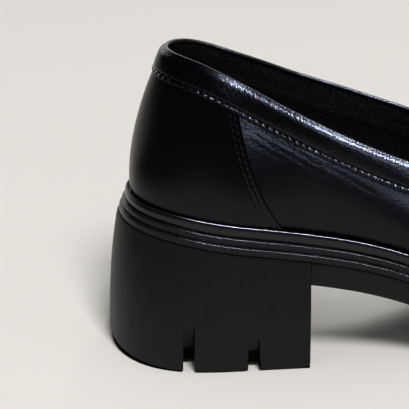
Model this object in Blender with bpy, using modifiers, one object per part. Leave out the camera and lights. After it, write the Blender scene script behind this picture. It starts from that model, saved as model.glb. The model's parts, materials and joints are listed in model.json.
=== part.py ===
"""Heeled loafer for the right foot: block heel, lugged outsole, ribbed midsole and hollow leather upper.

The shoe lies along X from the back of the heel to the toe, with the little-toe side at -Y and the floor at
Z = 0. A root empty moves it so that the middle of its footprint stands on the world origin.
"""

import math
from collections import namedtuple

import bmesh
import bpy
import numpy as np

MM = 0.001
DEGREE = math.pi / 180

# Clearances and sheet thicknesses
SEAT_GAP = 0.3 * MM
WALL = 1.6 * MM
PANEL_THICKNESS = 0.9 * MM
BAND_THICKNESS = 1.4 * MM
INSOLE_THICKNESS = 2.5 * MM

# Upper's foot line, seen from above
UPPER_BACK = 9.2 * MM
UPPER_TOE = 254 * MM
HEEL_ROUND = 38 * MM
TOE_ROUND = 64 * MM
HEEL_SQUARENESS = 2.05
TOE_SQUARENESS = 2.3

# Opening of the upper, seen from above
RIM_BACK = 21.7 * MM
THROAT = 138 * MM
RIM_BACK_ROUND = 22 * MM
THROAT_ROUND = 30 * MM
RIM_SQUARENESS = 2.0

# Seams of the upper
COLLAR_WIDTH = 10.5 * MM
COUNTER_SEAM = 62 * MM
COLLAR_END = 128 * MM
COLUMN_RAKE = 0.7
LEAST_FALL = 6 * MM
SEAM_BLEND = 0.07
THROAT_PAUSE = 0.12
PAUSE_PACE = 0.02

# Heel block and outsole
BREAST = 70 * MM
HEEL_TOP_REACH = 5.9 * MM
HEEL_FLOOR_REACH = 9.2 * MM
HEEL_FLARE_POWER = 2.4
HEEL_SIDE_ROWS = (0.3, 0.55, 0.75, 0.9, 1.0)
HEEL_EDGE = 0.6 * MM
CORNER_FILL = 3.0 * MM
EDGE_LIFT = 0.35 * MM
BACK_LIFT = 3.0 * MM
BACK_BEVEL = 11 * MM
OUTSOLE_REACH = 5.4 * MM
OUTSOLE_EDGE = 1.0 * MM
EDGE_ROUNDING = ((1, 0), (0.3, 0.3), (0, 1))
GROOVE_WIDTH = 4.2 * MM
GROOVE_DEPTH = 6.8 * MM
GROOVE_OVERRUN = 3 * MM
CHANNEL_DEPTH = 2.2 * MM
POCKET_DEPTH = 3.6 * MM
NOTCH_HEIGHT = 13.8 * MM
NOTCH_INSET = 3.5 * MM
HEEL_GROOVES = (26.2 * MM, 49.5 * MM)
TREAD_START = 150 * MM
TREAD_PITCH = 18.5 * MM
TREAD_GROOVES = 6

# Midsole: floor of its tray above the outsole, and the foot of the upper above that floor
TRAY_FLOOR = 8.0 * MM
FOOT_HEIGHT = TRAY_FLOOR + SEAT_GAP

# Mesh density
COUNTER_STEPS = 10
QUARTER_STEPS = 10
THROAT_STEPS = 4
VAMP_STEPS = 12
SOLE_STEPS = 36
HEEL_STEPS = 14
OUTSOLE_STEPS = 28
INSOLE_STEPS = 28
CURVE_SAMPLES = 81
SLOPE_STEP = 1e-4
WELD_DISTANCE = 0.01 * MM
SLIVER = 0.001 * MM
CREASE_ANGLE = 35 * DEGREE

PlanRow = namedtuple("PlanRow", "station half_width centre")
SideRow = namedtuple("SideRow", "station sole_top sole_bottom")
RimRow = namedtuple("RimRow", "station half_width centre outer_height inner_height")
RidgeRow = namedtuple("RidgeRow", "station centre height")
SeamRow = namedtuple("SeamRow", "station height")
ColumnRow = namedtuple("ColumnRow", "foot top low_tilt low_reach top_tilt top_reach sweep")
RimStep = namedtuple("RimStep", "reach height")

# Upper's foot line: half of its width, and how far its middle lies towards the big toe
FOOT_PLAN = [
    PlanRow(9, 25.2, 0.0),
    PlanRow(42, 25.4, 0.0),
    PlanRow(70, 24.8, -0.6),
    PlanRow(100, 26.2, -1.9),
    PlanRow(130, 32.2, -2.4),
    PlanRow(165, 39.2, -0.8),
    PlanRow(190, 40.0, 1.2),
    PlanRow(215, 38.4, 3.4),
    PlanRow(254, 34.0, 6.6),
]

# Sole seen from the side: its top, where the midsole sits, and its underside
SOLE_SIDE = [
    SideRow(0, 50.2, 40.0),
    SideRow(12, 49.0, 39.0),
    SideRow(48, 43.9, 34.9),
    SideRow(70, 40.4, 31.4),
    SideRow(88, 37.0, 28.1),
    SideRow(105, 32.4, 23.6),
    SideRow(126, 24.8, 15.4),
    SideRow(145, 18.6, 6.6),
    SideRow(160, 15.6, 0.8),
    SideRow(178, 14.2, -1.2),
    SideRow(200, 14.4, -0.2),
    SideRow(230, 17.0, 4.0),
    SideRow(262, 21.6, 9.6),
]

# Edge of the opening: half of its width, its middle, and its height on the little-toe and big-toe sides
RIM = [
    RimRow(21.7, 15.0, 0.0, 113.0, 113.0),
    RimRow(29, 15.2, 0.0, 111.8, 111.4),
    RimRow(42.6, 16.2, 0.0, 106.2, 106.3),
    RimRow(57, 19.8, 0.0, 98.6, 99.7),
    RimRow(72, 23.4, 0.0, 91.0, 92.6),
    RimRow(89, 25.0, 0.2, 82.6, 85.9),
    RimRow(104.5, 25.2, 0.5, 75.6, 79.9),
    RimRow(118, 24.4, 1.0, 71.0, 74.9),
    RimRow(128, 23.0, 1.5, 70.4, 72.4),
    RimRow(134, 21.9, 1.8, 72.0, 72.8),
    RimRow(138, 21.0, 2.0, 72.8, 72.8),
]

# Crest of the vamp from the throat to the toe
RIDGE = [
    RidgeRow(138, 2.0, 72.8),
    RidgeRow(152, 3.0, 66.2),
    RidgeRow(168, 4.0, 60.0),
    RidgeRow(188, 5.0, 54.7),
    RidgeRow(211, 6.0, 50.8),
]

# Seam of the apron, seen from the side
APRON_SEAM = [
    SeamRow(112, 63.4),
    SeamRow(122, 59.6),
    SeamRow(135, 54.4),
    SeamRow(150, 49.8),
    SeamRow(166, 46.7),
    SeamRow(184, 44.8),
    SeamRow(202, 44.2),
    SeamRow(220, 45.2),
    SeamRow(238, 47.2),
]

# Columns of the upper: foot station, top station, tilt and pull of the wall at its foot and top, and how
# far the pull at the top turns from straight outwards towards the column's foot
COLUMNS = [
    ColumnRow(9.2, 21.7, 85, 16, 66, 22, 0),
    ColumnRow(26, 29.0, 79, 16, 70, 20, 0),
    ColumnRow(62, 44.5, 73, 16, 76, 17, 0),
    ColumnRow(100, 86.0, 68, 13, 80, 12, 0),
    ColumnRow(128, 118.0, 66, 14, 64, 14, 0.5),
    ColumnRow(153, 138.0, 68, 19, 10.4, 21, 1),
    ColumnRow(180, 161.0, 70, 18, 9.3, 21, 1),
    ColumnRow(210, 183.0, 72, 16, 7.8, 22, 1),
    ColumnRow(238, 203.0, 76, 14, 7.2, 25, 1),
    ColumnRow(254, 211.0, 80, 13, 8.6, 28, 1),
]
THROAT_FOOT = 153 * MM

# Midsole edge, from its tray floor over the bead and down the two ribs: reach past the foot line, height
MIDSOLE_EDGE = [
    RimStep(1.3, 8.0),
    RimStep(1.85, 9.7),
    RimStep(2.4, 9.95),
    RimStep(2.85, 9.2),
    RimStep(2.85, 7.0),
    RimStep(2.6, 6.1),
    RimStep(2.0, 5.65),
    RimStep(3.45, 5.45),
    RimStep(3.95, 4.9),
    RimStep(3.95, 3.15),
    RimStep(3.5, 2.85),
    RimStep(4.5, 2.65),
    RimStep(5.0, 2.1),
    RimStep(5.0, 0.2),
    RimStep(4.2, 0.0),
]

# Shares of a column's height where mesh rows lie, below and above its seam
ROWS_BELOW_SEAM = (0, 0.06, 0.13, 0.23, 0.36, 0.51, 0.67, 0.84, 0.986)
ROWS_ABOVE_SEAM = (0, 0.2, 0.4, 0.6, 0.8, 1)
SEAM_ROW = len(ROWS_BELOW_SEAM)

LITTLE_TOE_SIDE = -1
BIG_TOE_SIDE = 1


def column_of(table, name):
    """One named column of a table."""
    return np.array([getattr(row, name) for row in table], float)


def spline(knots, values):
    """Natural cubic spline through the values at the knots, as a function."""
    gaps = np.diff(knots)
    slopes = np.diff(values) / gaps
    count = len(knots)
    system = np.eye(count)
    wanted = np.zeros(count)
    for i in range(1, count - 1):
        system[i, i - 1 : i + 2] = gaps[i - 1], 2 * (gaps[i - 1] + gaps[i]), gaps[i]
        wanted[i] = 6 * (slopes[i] - slopes[i - 1])
    bends = np.linalg.solve(system, wanted)

    def value_at(x):
        i = np.clip(np.searchsorted(knots, x) - 1, 0, count - 2)
        left, right = x - knots[i], knots[i + 1] - x
        cubic = (bends[i] * right**3 + bends[i + 1] * left**3) / (6 * gaps[i])
        start = values[i] / gaps[i] - bends[i] * gaps[i] / 6
        end = values[i + 1] / gaps[i] - bends[i + 1] * gaps[i] / 6
        return cubic + start * right + end * left

    return value_at


def table_spline(table, name):
    """Spline of a table's column of millimetres along its stations, in metres."""
    return spline(column_of(table, "station") * MM, column_of(table, name) * MM)


class Outline:
    """Closed plan outline with a rounded back and front, walked along one side by a share from 0 to 1."""

    def __init__(self, table, back, front, back_round, front_round, back_power, front_power):
        self.back, self.front = back, front
        self.back_round, self.front_round = back_round, front_round
        self.back_power, self.front_power = back_power, front_power
        self.half_width = table_spline(table, "half_width")
        self.centre = table_spline(table, "centre")
        straight = front - back - back_round - front_round
        walk = straight + (back_round + front_round) * math.pi / 2
        self.back_share = back_round * math.pi / 2 / walk
        self.front_share = front_round * math.pi / 2 / walk

    def station(self, share):
        """Distance along X at a share, and how much of its width the outline has there."""
        if share < self.back_share:
            turn = math.cos(share / self.back_share * math.pi / 2)
            width = (1 - turn**self.back_power) ** (1 / self.back_power)
            return self.back + self.back_round * (1 - turn), width
        if share > 1 - self.front_share:
            turn = math.cos((1 - share) / self.front_share * math.pi / 2)
            width = max(1 - turn**self.front_power, 0) ** (1 / self.front_power)
            return self.front - self.front_round * (1 - turn), width
        run = (share - self.back_share) / (1 - self.back_share - self.front_share)
        straight = self.front - self.back - self.back_round - self.front_round
        return self.back + self.back_round + run * straight, 1.0

    def share(self, station):
        """The share at which the outline reaches a station."""
        if station < self.back + self.back_round:
            turn = 1 - (station - self.back) / self.back_round
            return math.acos(turn) / (math.pi / 2) * self.back_share
        if station > self.front - self.front_round:
            turn = 1 - (self.front - station) / self.front_round
            return 1 - math.acos(turn) / (math.pi / 2) * self.front_share
        straight = self.front - self.back - self.back_round - self.front_round
        run = (station - self.back - self.back_round) / straight
        return self.back_share + run * (1 - self.back_share - self.front_share)

    def point(self, side, share):
        """Plan point of one side."""
        x, width = self.station(share)
        return np.array([x, self.centre(x) + side * self.half_width(x) * width])

    def frame(self, side, share):
        """Plan point, direction of travel from heel to toe and outward direction."""
        low, high = max(share - SLOPE_STEP, 0), min(share + SLOPE_STEP, 1)
        along = self.point(side, high) - self.point(side, low)
        along /= np.linalg.norm(along)
        if share in (0, 1):
            along = np.array([0.0, side if share == 0 else -side])
        outward = np.array([-along[1], along[0]]) * side
        return self.point(side, share), along, outward

    def offset(self, side, share, reach):
        """Plan point moved outwards by a reach."""
        point, _, outward = self.frame(side, share)
        return point + outward * reach


foot_line = Outline(
    FOOT_PLAN, UPPER_BACK, UPPER_TOE, HEEL_ROUND, TOE_ROUND, HEEL_SQUARENESS, TOE_SQUARENESS
)
rim_line = Outline(
    RIM, RIM_BACK, THROAT, RIM_BACK_ROUND, THROAT_ROUND, RIM_SQUARENESS, RIM_SQUARENESS
)
sole_top = table_spline(SOLE_SIDE, "sole_top")
sole_curve = table_spline(SOLE_SIDE, "sole_bottom")
rim_heights = {
    LITTLE_TOE_SIDE: table_spline(RIM, "outer_height"),
    BIG_TOE_SIDE: table_spline(RIM, "inner_height"),
}
ridge_centre = table_spline(RIDGE, "centre")
ridge_height = table_spline(RIDGE, "height")
apron_seam = table_spline(APRON_SEAM, "height")


def sole_bottom(x):
    """Underside of the outsole, flat on the floor under the ball of the foot."""
    return max(sole_curve(x), 0.0)


class UpperForm:
    """Outer surface of the upper: curved columns from the foot line up to the rim or the ridge."""

    def __init__(self):
        feet = column_of(COLUMNS, "foot") * MM
        tops = column_of(COLUMNS, "top") * MM
        shares = np.array([foot_line.share(foot) for foot in feet])
        self.throat_share = foot_line.share(THROAT_FOOT)
        self.collar_share = foot_line.share(COLLAR_END)
        self.counter_share = foot_line.share(COUNTER_SEAM)
        opening = [i for i, top in enumerate(tops) if top <= THROAT]
        vamp = [i for i, top in enumerate(tops) if top >= THROAT]
        rim_shares = np.array([rim_line.share(tops[i]) for i in opening])
        self.rim_share = spline(shares[opening], rim_shares)
        self.ridge_station = spline(shares[vamp], tops[vamp])
        self.low_tilt = spline(shares, column_of(COLUMNS, "low_tilt") * DEGREE)
        self.low_reach = spline(shares, column_of(COLUMNS, "low_reach") * MM)
        self.top_tilt = spline(shares, column_of(COLUMNS, "top_tilt") * DEGREE)
        self.top_reach = spline(shares, column_of(COLUMNS, "top_reach") * MM)
        self.sweep = spline(shares, column_of(COLUMNS, "sweep"))

    def paused(self, share):
        """Share drawn towards the throat's, so that the columns' tops slow there and the wall has no crease."""
        away = share - self.throat_share
        run = min(abs(away) / THROAT_PAUSE, 1)
        slowed = PAUSE_PACE * run + (1 - PAUSE_PACE) * run * run * (2 - run)
        return share + np.sign(away) * THROAT_PAUSE * (slowed - run)

    def top(self, side, share):
        """End of a column, on the rim of the opening or on the ridge of the vamp."""
        share = self.paused(share)
        if share < self.throat_share:
            x, y = rim_line.point(side, float(np.clip(self.rim_share(share), 0, 1)))
            return np.array([x, y, rim_heights[side](x)])
        x = self.ridge_station(share)
        return np.array([x, ridge_centre(x), ridge_height(x)])

    def curve(self, side, share):
        """Points up a column, and their distance along it from the foot line."""
        plan, along, outward = foot_line.frame(side, share)
        along, outward = np.append(along, 0), np.append(outward, 0)
        up = np.array([0, 0, 1])
        foot = np.append(plan, sole_top(plan[0]) + FOOT_HEIGHT)
        top = self.top(side, share)
        low, high = self.low_tilt(share), self.top_tilt(share)
        rake = along * float((top - foot) @ along) * COLUMN_RAKE
        first = foot + self.low_reach(share) * (outward * math.cos(low) + up * math.sin(low)) + rake
        fall = foot - top
        slant = (fall @ along) / max(fall @ outward, LEAST_FALL) * self.sweep(share)
        aside = outward + along * slant
        aside /= np.linalg.norm(aside)
        second = top + self.top_reach(share) * (aside * math.cos(high) - up * math.sin(high))
        t = np.linspace(0, 1, CURVE_SAMPLES)[:, None]
        ends = foot * (1 - t) ** 3 + top * t**3
        points = ends + 3 * t * (1 - t) * (first * (1 - t) + second * t)
        steps = np.linalg.norm(np.diff(points, axis=0), axis=1)
        return points, np.concatenate([[0], np.cumsum(steps)])

    def lean(self, side, share):
        """Sine of the angle at which a column meets the rim."""
        points, _ = self.curve(side, share)
        climb = points[-1] - points[-2]
        along = self.top(side, share + SLOPE_STEP) - self.top(side, share - SLOPE_STEP if share else share)
        return np.linalg.norm(np.cross(climb, along)) / np.linalg.norm(climb) / np.linalg.norm(along)

    def collar_distance(self, side, share):
        """How far up a column the collar's lower edge lies."""
        return self.curve(side, share)[1][-1] - COLLAR_WIDTH / self.lean(side, share)

    def apron_distance(self, side, share):
        """How far up a column the apron's seam lies."""
        points, distance = self.curve(side, share)
        return np.interp(0, points[:, 2] - apron_seam(points[:, 0]), distance)

    def seam_distance(self, side, share):
        """How far up a column its seam lies: the collar's lower edge, which runs into the apron's seam."""
        run = float(np.clip((share - self.collar_share) / SEAM_BLEND + 0.5, 0, 1))
        weight = run * run * (3 - 2 * run)
        collar = self.collar_distance(side, share) if weight < 1 else 0
        apron = self.apron_distance(side, share) if weight > 0 else 0
        return collar * (1 - weight) + apron * weight

    def column(self, side, share):
        """Points of one column at the mesh rows."""
        points, distance = self.curve(side, share)
        seam = self.seam_distance(side, share)
        below = [seam * row for row in ROWS_BELOW_SEAM]
        above = [seam + (distance[-1] - seam) * row for row in ROWS_ABOVE_SEAM]
        return np.stack([np.interp(below + above, distance, points[:, axis]) for axis in range(3)], axis=-1)


def even_shares(start, end, steps):
    """Shares at equal steps, with both ends."""
    return [start + (end - start) * i / steps for i in range(steps + 1)]


def upper_shares(form):
    """Shares of the upper's columns along one side, with one at each seam and at the throat."""
    stops = (0, form.counter_share, form.collar_share, form.throat_share, 1)
    steps = (COUNTER_STEPS, QUARTER_STEPS, THROAT_STEPS, VAMP_STEPS)
    shares = [0.0]
    for start, end, count in zip(stops, stops[1:], steps):
        shares += even_shares(start, end, count)[1:]
    return shares


def new_object(name, mesh, collection, material):
    """A mesh object in a collection, under the shoe's root."""
    obj = bpy.data.objects.new(name, mesh)
    collection.objects.link(obj)
    if material:
        mesh.materials.append(material)
        obj.parent = root
    return obj


def mesh_of(name, bm):
    """A mesh from a bmesh, shaded smooth except at creases."""
    mesh = bpy.data.meshes.new(name)
    bm.to_mesh(mesh)
    bm.free()
    mesh.shade_smooth()
    mesh.set_sharp_from_angle(angle=CREASE_ANGLE)
    return mesh


def loft(name, rings, material):
    """Closed solid through rings that each run out along one side and back along the other."""
    bm = bmesh.new()
    loops = [[bm.verts.new(point) for point in ring] for ring in rings]
    count = len(loops[0])
    for low, high in zip(loops, loops[1:]):
        for i in range(count):
            j = (i + 1) % count
            bm.faces.new((low[i], low[j], high[j], high[i]))
    for loop in (loops[0], loops[-1]):
        ladder_cap(bm, loop)
    bmesh.ops.recalc_face_normals(bm, faces=bm.faces)
    return new_object(name, mesh_of(name, bm), parts, material)


def ladder_cap(bm, loop):
    """Closes a ring with rungs between the points that face each other on its two sides."""
    count = len(loop)
    for i in range((count + 1) // 2):
        corners = (loop[i], loop[i + 1], loop[-i - 1], loop[-i])
        distinct = list(dict.fromkeys(corners))
        if len(distinct) > 2:
            bm.faces.new(distinct)


def ring(shares, place):
    """Points of a ring at the given shares, out along the little-toe side and back along the big-toe side."""
    out = [place(LITTLE_TOE_SIDE, share) for share in shares]
    back = [place(BIG_TOE_SIDE, share) for share in reversed(shares)]
    closed_start = shares[0] in (0, 1)
    closed_end = shares[-1] in (0, 1)
    return out + back[closed_end : len(back) - closed_start]


def sole_ring(shares, reach, height):
    """Ring at a reach past the foot line, one for all shares or one for each, at a height given along X."""
    reaches = dict(zip(shares, np.broadcast_to(reach, len(shares))))

    def place(side, share):
        x, y = foot_line.offset(side, share, reaches[share])
        return x, y, height(x)

    return ring(shares, place)


def squared(rings, station, ends):
    """Rings with the points at their ends moved to a station, so that the piece is flat there."""
    for points in rings:
        for i in ends:
            points[i] = (station, *points[i][1:])
    return rings


def leather(name, colour, roughness):
    """A plain dielectric material."""
    material = bpy.data.materials.new(name)
    material.use_nodes = True
    shader = material.node_tree.nodes["Principled BSDF"]
    shader.inputs["Base Color"].default_value = (*colour, 1)
    shader.inputs["Roughness"].default_value = roughness
    shader.inputs["Metallic"].default_value = 0
    return material


def add_solidify(obj, thickness, offset):
    """Gives an open surface its thickness, inwards for offset -1 and outwards for offset 1."""
    solidify = obj.modifiers.new("Thickness", "SOLIDIFY")
    solidify.thickness = thickness
    solidify.offset = offset
    solidify.use_even_offset = True
    solidify.use_quality_normals = True


def surface(name, columns, material, closed):
    """Open surface through columns of points, welded where columns meet."""
    bm = bmesh.new()
    grid = [[bm.verts.new(point) for point in column] for column in columns]
    pairs = list(zip(grid, grid[1:] + grid[:1] if closed else grid[1:]))
    for left, right in pairs:
        for row in range(len(left) - 1):
            bm.faces.new((left[row], right[row], right[row + 1], left[row + 1]))
    bmesh.ops.remove_doubles(bm, verts=bm.verts, dist=WELD_DISTANCE)
    bmesh.ops.dissolve_degenerate(bm, edges=bm.edges, dist=SLIVER)
    return new_object(name, mesh_of(name, bm), parts, material)


def make_upper(form):
    """Hollow wall of the vamp and quarters, open at the collar and underneath."""
    shares = upper_shares(form)
    columns = ring(shares, form.column)
    upper = surface("upper", columns, upper_leather, closed=True)
    add_solidify(upper, WALL, -1)
    return upper


def make_overlay(name, form, shares, rows, thickness):
    """Panel that lies on the upper across the given columns and rows."""
    sides = ring(shares, lambda side, share: form.column(side, share)[rows])
    half = len(shares)
    if shares[0] == 0:
        columns = sides[half:] + sides[:half]
    else:
        columns = sides
    panel = surface(name, columns, upper_leather, closed=False)
    lift = panel.modifiers.new("Seat gap", "DISPLACE")
    lift.mid_level = 0
    lift.strength = SEAT_GAP
    add_solidify(panel, thickness, 1)
    return panel


def make_midsole():
    """Tray under the upper, with the bead and two ribs of its edge."""
    shares = even_shares(0, 1, SOLE_STEPS)
    rings = [
        sole_ring(shares, step.reach * MM, lambda x, step=step: sole_top(x) + step.height * MM)
        for step in MIDSOLE_EDGE
    ]
    return loft("midsole", rings, edge_rubber)


def heel_lift(x):
    """How far the heel's edge stands off the floor, most at its bevelled back."""
    return EDGE_LIFT + BACK_LIFT * np.exp(-np.maximum(x, 0) / BACK_BEVEL)


def make_heel():
    """Heel block, flared towards the floor, with a bevelled back and its lugs cut by grooves."""
    shares = even_shares(0, foot_line.share(BREAST), HEEL_STEPS)
    turns = math.pi * np.clip(np.array(shares) / foot_line.back_share, 0, 1)
    floor_reach = HEEL_FLOOR_REACH + CORNER_FILL * np.sin(turns) ** 2
    rings = [sole_ring(shares, floor_reach - HEEL_EDGE, lambda x: 0.0)]
    for inset, rise in EDGE_ROUNDING:
        height = lambda x, rise=rise: heel_lift(x) + rise * HEEL_EDGE
        rings.append(sole_ring(shares, floor_reach - inset * HEEL_EDGE, height))
    for share in HEEL_SIDE_ROWS:
        reach = floor_reach - (floor_reach - HEEL_TOP_REACH) * share**HEEL_FLARE_POWER
        rings.append(sole_ring(shares, reach, lambda x, share=share: (sole_top(x) - SEAT_GAP) * share))
    last = len(shares) - 1
    heel = loft("heel_block", squared(rings, BREAST, (last, last + 1)), sole_rubber)
    for station in HEEL_GROOVES:
        cut(heel, make_groove(station, 0.0, HEEL_FLOOR_REACH, NOTCH_HEIGHT, CHANNEL_DEPTH))
    return heel


def make_outsole():
    """Outsole from the heel's breast to the toe, with its arch, toe spring and lugs."""
    breast = BREAST + SEAT_GAP
    shares = even_shares(foot_line.share(breast), 1, OUTSOLE_STEPS)
    rings = []
    for inset, rise in EDGE_ROUNDING:
        height = lambda x, rise=rise: sole_bottom(x) + rise * OUTSOLE_EDGE
        rings.append(sole_ring(shares, OUTSOLE_REACH - inset * OUTSOLE_EDGE, height))
    rings.append(sole_ring(shares, OUTSOLE_REACH, lambda x: sole_top(x) - SEAT_GAP))
    flat = squared(rings, breast, (0, -1))
    outsole = loft("outsole", [points[-1:] + points[:-1] for points in flat], sole_rubber)
    for i in range(TREAD_GROOVES):
        station = TREAD_START + i * TREAD_PITCH
        notch_height = GROOVE_DEPTH + NOTCH_INSET
        cut(outsole, make_groove(station, sole_bottom(station), OUTSOLE_REACH, notch_height, GROOVE_DEPTH))
    return outsole


def make_groove(station, floor, reach, notch_height, middle_depth):
    """Cutter for a tread groove across the shoe, whose ends climb the sides as sloping notches."""
    share = foot_line.share(station)
    sides = [foot_line.offset(side, share, reach)[1] for side in (LITTLE_TOE_SIDE, BIG_TOE_SIDE)]
    climb = (notch_height - GROOVE_DEPTH) / NOTCH_INSET
    low, high = sides
    ceiling = floor + GROOVE_DEPTH
    top = floor + notch_height + climb * GROOVE_OVERRUN
    below = floor - GROOVE_OVERRUN
    profile = [
        (low - GROOVE_OVERRUN, below),
        (high + GROOVE_OVERRUN, below),
        (high + GROOVE_OVERRUN, top),
        (high - NOTCH_INSET, ceiling),
        (low + NOTCH_INSET, ceiling),
        (low - GROOVE_OVERRUN, top),
    ]
    if middle_depth < GROOVE_DEPTH:
        low, high = low + POCKET_DEPTH, high - POCKET_DEPTH
        channel = floor + middle_depth
        profile[4:4] = [(high, ceiling), (high, channel), (low, channel), (low, ceiling)]
    bm = bmesh.new()
    back = station - GROOVE_WIDTH / 2
    face = bm.faces.new([bm.verts.new((back, y, z)) for y, z in profile])
    pushed = bmesh.ops.extrude_face_region(bm, geom=[face])
    moved = [v for v in pushed["geom"] if isinstance(v, bmesh.types.BMVert)]
    bmesh.ops.translate(bm, verts=moved, vec=(GROOVE_WIDTH, 0, 0))
    bmesh.ops.recalc_face_normals(bm, faces=bm.faces)
    cutter = new_object(f"groove_{station / MM:.0f}", mesh_of("groove", bm), cutters, None)
    cutter.parent = root
    cutter.hide_render = True
    cutter.display_type = "WIRE"
    return cutter


def cut(obj, cutter):
    """Subtracts a cutter from an object."""
    boolean = obj.modifiers.new(cutter.name, "BOOLEAN")
    boolean.operation = "DIFFERENCE"
    boolean.solver = "EXACT"
    boolean.object = cutter


def make_insole():
    """Sock lining on the tray's floor, inside the upper."""
    shares = even_shares(0, 1, INSOLE_STEPS)
    reach = -WALL - 2 * SEAT_GAP
    base = TRAY_FLOOR + SEAT_GAP
    rings = [
        sole_ring(shares, reach, lambda x, rise=rise: sole_top(x) + base + rise)
        for rise in (0, INSOLE_THICKNESS)
    ]
    return loft("insole", rings, sock_leather)


def footprint_centre():
    """Middle of the shoe's box in plan, from the parts that reach furthest."""
    shares = even_shares(0, 1, SOLE_STEPS)
    sides = (LITTLE_TOE_SIDE, BIG_TOE_SIDE)
    points = np.array([foot_line.offset(side, s, OUTSOLE_REACH) for side in sides for s in shares])
    back = foot_line.offset(LITTLE_TOE_SIDE, 0, HEEL_FLOOR_REACH)
    low = np.minimum(points.min(0), back)
    high = points.max(0)
    return (low + high) / 2


for old in list(bpy.data.objects):
    bpy.data.objects.remove(old)
parts = bpy.data.collections.new("heeled_loafer")
cutters = bpy.data.collections.new("cutters")
for collection in (parts, cutters):
    bpy.context.scene.collection.children.link(collection)
root = bpy.data.objects.new("shoe_root", None)
parts.objects.link(root)
root.location = (*-footprint_centre(), 0)

upper_leather = leather("black calf leather", (0.012, 0.012, 0.014), 0.32)
sock_leather = leather("black sock leather", (0.02, 0.02, 0.021), 0.6)
sole_rubber = leather("black moulded rubber", (0.018, 0.018, 0.018), 0.62)
edge_rubber = leather("black burnished rubber", (0.015, 0.015, 0.017), 0.4)

upper_form = UpperForm()
make_outsole()
make_heel()
make_midsole()
make_insole()
make_upper(upper_form)
all_shares = upper_shares(upper_form)
counter_shares = [s for s in all_shares if s <= upper_form.counter_share]
collar_shares = [s for s in all_shares if s <= upper_form.collar_share]
apron_shares = [s for s in all_shares if s >= upper_form.collar_share]
make_overlay("counter_panel", upper_form, counter_shares, slice(1, SEAM_ROW), PANEL_THICKNESS)
make_overlay("collar_band", upper_form, collar_shares, slice(SEAM_ROW, None), BAND_THICKNESS)
make_overlay("apron", upper_form, apron_shares, slice(SEAM_ROW, None), BAND_THICKNESS)
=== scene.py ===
"""Looks of a black heeled loafer for the right foot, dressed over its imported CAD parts.

Lengths are in millimetres in the shoe's own frame: X runs from the back of the heel to the toe, the
little-toe side is at -Y and the floor is at Z = 0. Last.to_model turns them into metres in the model's frame.

A signed share walks the shoe's outline: 0 at the back of the heel, 1 at the toe, and negative on the
little-toe side.
"""

import json
import logging
import math
from dataclasses import dataclass
from enum import Enum
from typing import Callable, NamedTuple, Sequence

import bpy
import numpy as np
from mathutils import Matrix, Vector

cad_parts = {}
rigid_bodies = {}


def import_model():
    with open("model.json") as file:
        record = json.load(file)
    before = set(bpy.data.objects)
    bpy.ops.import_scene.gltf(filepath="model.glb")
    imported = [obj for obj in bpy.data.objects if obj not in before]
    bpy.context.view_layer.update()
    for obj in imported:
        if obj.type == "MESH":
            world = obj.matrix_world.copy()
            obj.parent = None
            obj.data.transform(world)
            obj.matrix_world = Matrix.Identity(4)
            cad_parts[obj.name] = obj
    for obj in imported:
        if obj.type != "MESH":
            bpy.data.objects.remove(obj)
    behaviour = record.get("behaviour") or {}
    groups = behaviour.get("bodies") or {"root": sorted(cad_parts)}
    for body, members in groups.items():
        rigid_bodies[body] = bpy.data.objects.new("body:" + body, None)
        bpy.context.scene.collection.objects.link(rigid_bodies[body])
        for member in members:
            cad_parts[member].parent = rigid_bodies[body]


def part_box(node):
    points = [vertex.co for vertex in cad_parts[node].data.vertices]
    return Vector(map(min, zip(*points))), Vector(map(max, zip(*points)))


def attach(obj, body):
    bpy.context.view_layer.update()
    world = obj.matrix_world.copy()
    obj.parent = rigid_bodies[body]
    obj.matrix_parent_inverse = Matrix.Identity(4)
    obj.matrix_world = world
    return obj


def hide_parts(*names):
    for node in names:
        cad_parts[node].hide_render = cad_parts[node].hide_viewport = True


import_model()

log = logging.getLogger("heeled_loafer")

MM = 0.001
QUARTER_TURN = math.pi / 2
SHARE_STEP = 1e-4
CLIMB_STEP = 0.05
WELD_DISTANCE = 0.06
DISSOLVE_DISTANCE = 0.015
SHORTEST = 1e-12
CURVE_SAMPLES = 161
WALK_SAMPLES = 644
TREAD_ANGLE = 40
EDGE_ANGLE = 50
LEATHER_ANGLE = 60
THREAD_ANGLE = 80
WHITE_LIGHT = "#ffffff"
COOL_LIGHT = "#dce8ff"
GLOSSY_PIECES = ("collar_band", "apron")
BODY = "root"


class Slot(Enum):
    """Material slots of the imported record."""

    UPPER = "upper_leather"
    SOCK = "sock_leather"
    SOLE = "sole_rubber"
    EDGE = "edge_rubber"


class GrainFlow(Enum):
    """Which coordinates a leather's grain follows."""

    OBJECT = "Object"
    PANEL = "UV"


class PlanRow(NamedTuple):
    """Half of an outline's width, and how far its middle lies towards the big toe."""

    station: float
    half_width: float
    centre: float


class SideRow(NamedTuple):
    """Heights of the sole's top and underside."""

    station: float
    sole_top: float
    sole_bottom: float


class RimRow(NamedTuple):
    """Edge of the opening: half of its width, its middle and its heights on both sides."""

    station: float
    half_width: float
    centre: float
    outer_height: float
    inner_height: float


class RidgeRow(NamedTuple):
    """Crest of the vamp."""

    station: float
    centre: float
    height: float


class SeamRow(NamedTuple):
    """Apron seam, seen from the side."""

    station: float
    height: float


class ColumnRow(NamedTuple):
    """A column up the wall: where it starts and ends, and the tilt and pull of the wall at both ends."""

    foot: float
    top: float
    low_tilt: float
    low_reach: float
    top_tilt: float
    top_reach: float
    sweep: float


class Corner(NamedTuple):
    """Corner of a profile, and how far from it the profile starts to turn."""

    reach: float
    height: float
    ease: float


class SoleRow(NamedTuple):
    """Row of a sole loft: its spread from the spine, its reach past the foot line, and its height."""

    spread: float
    reach: float | np.ndarray
    height: Callable[[np.ndarray], np.ndarray]


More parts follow.
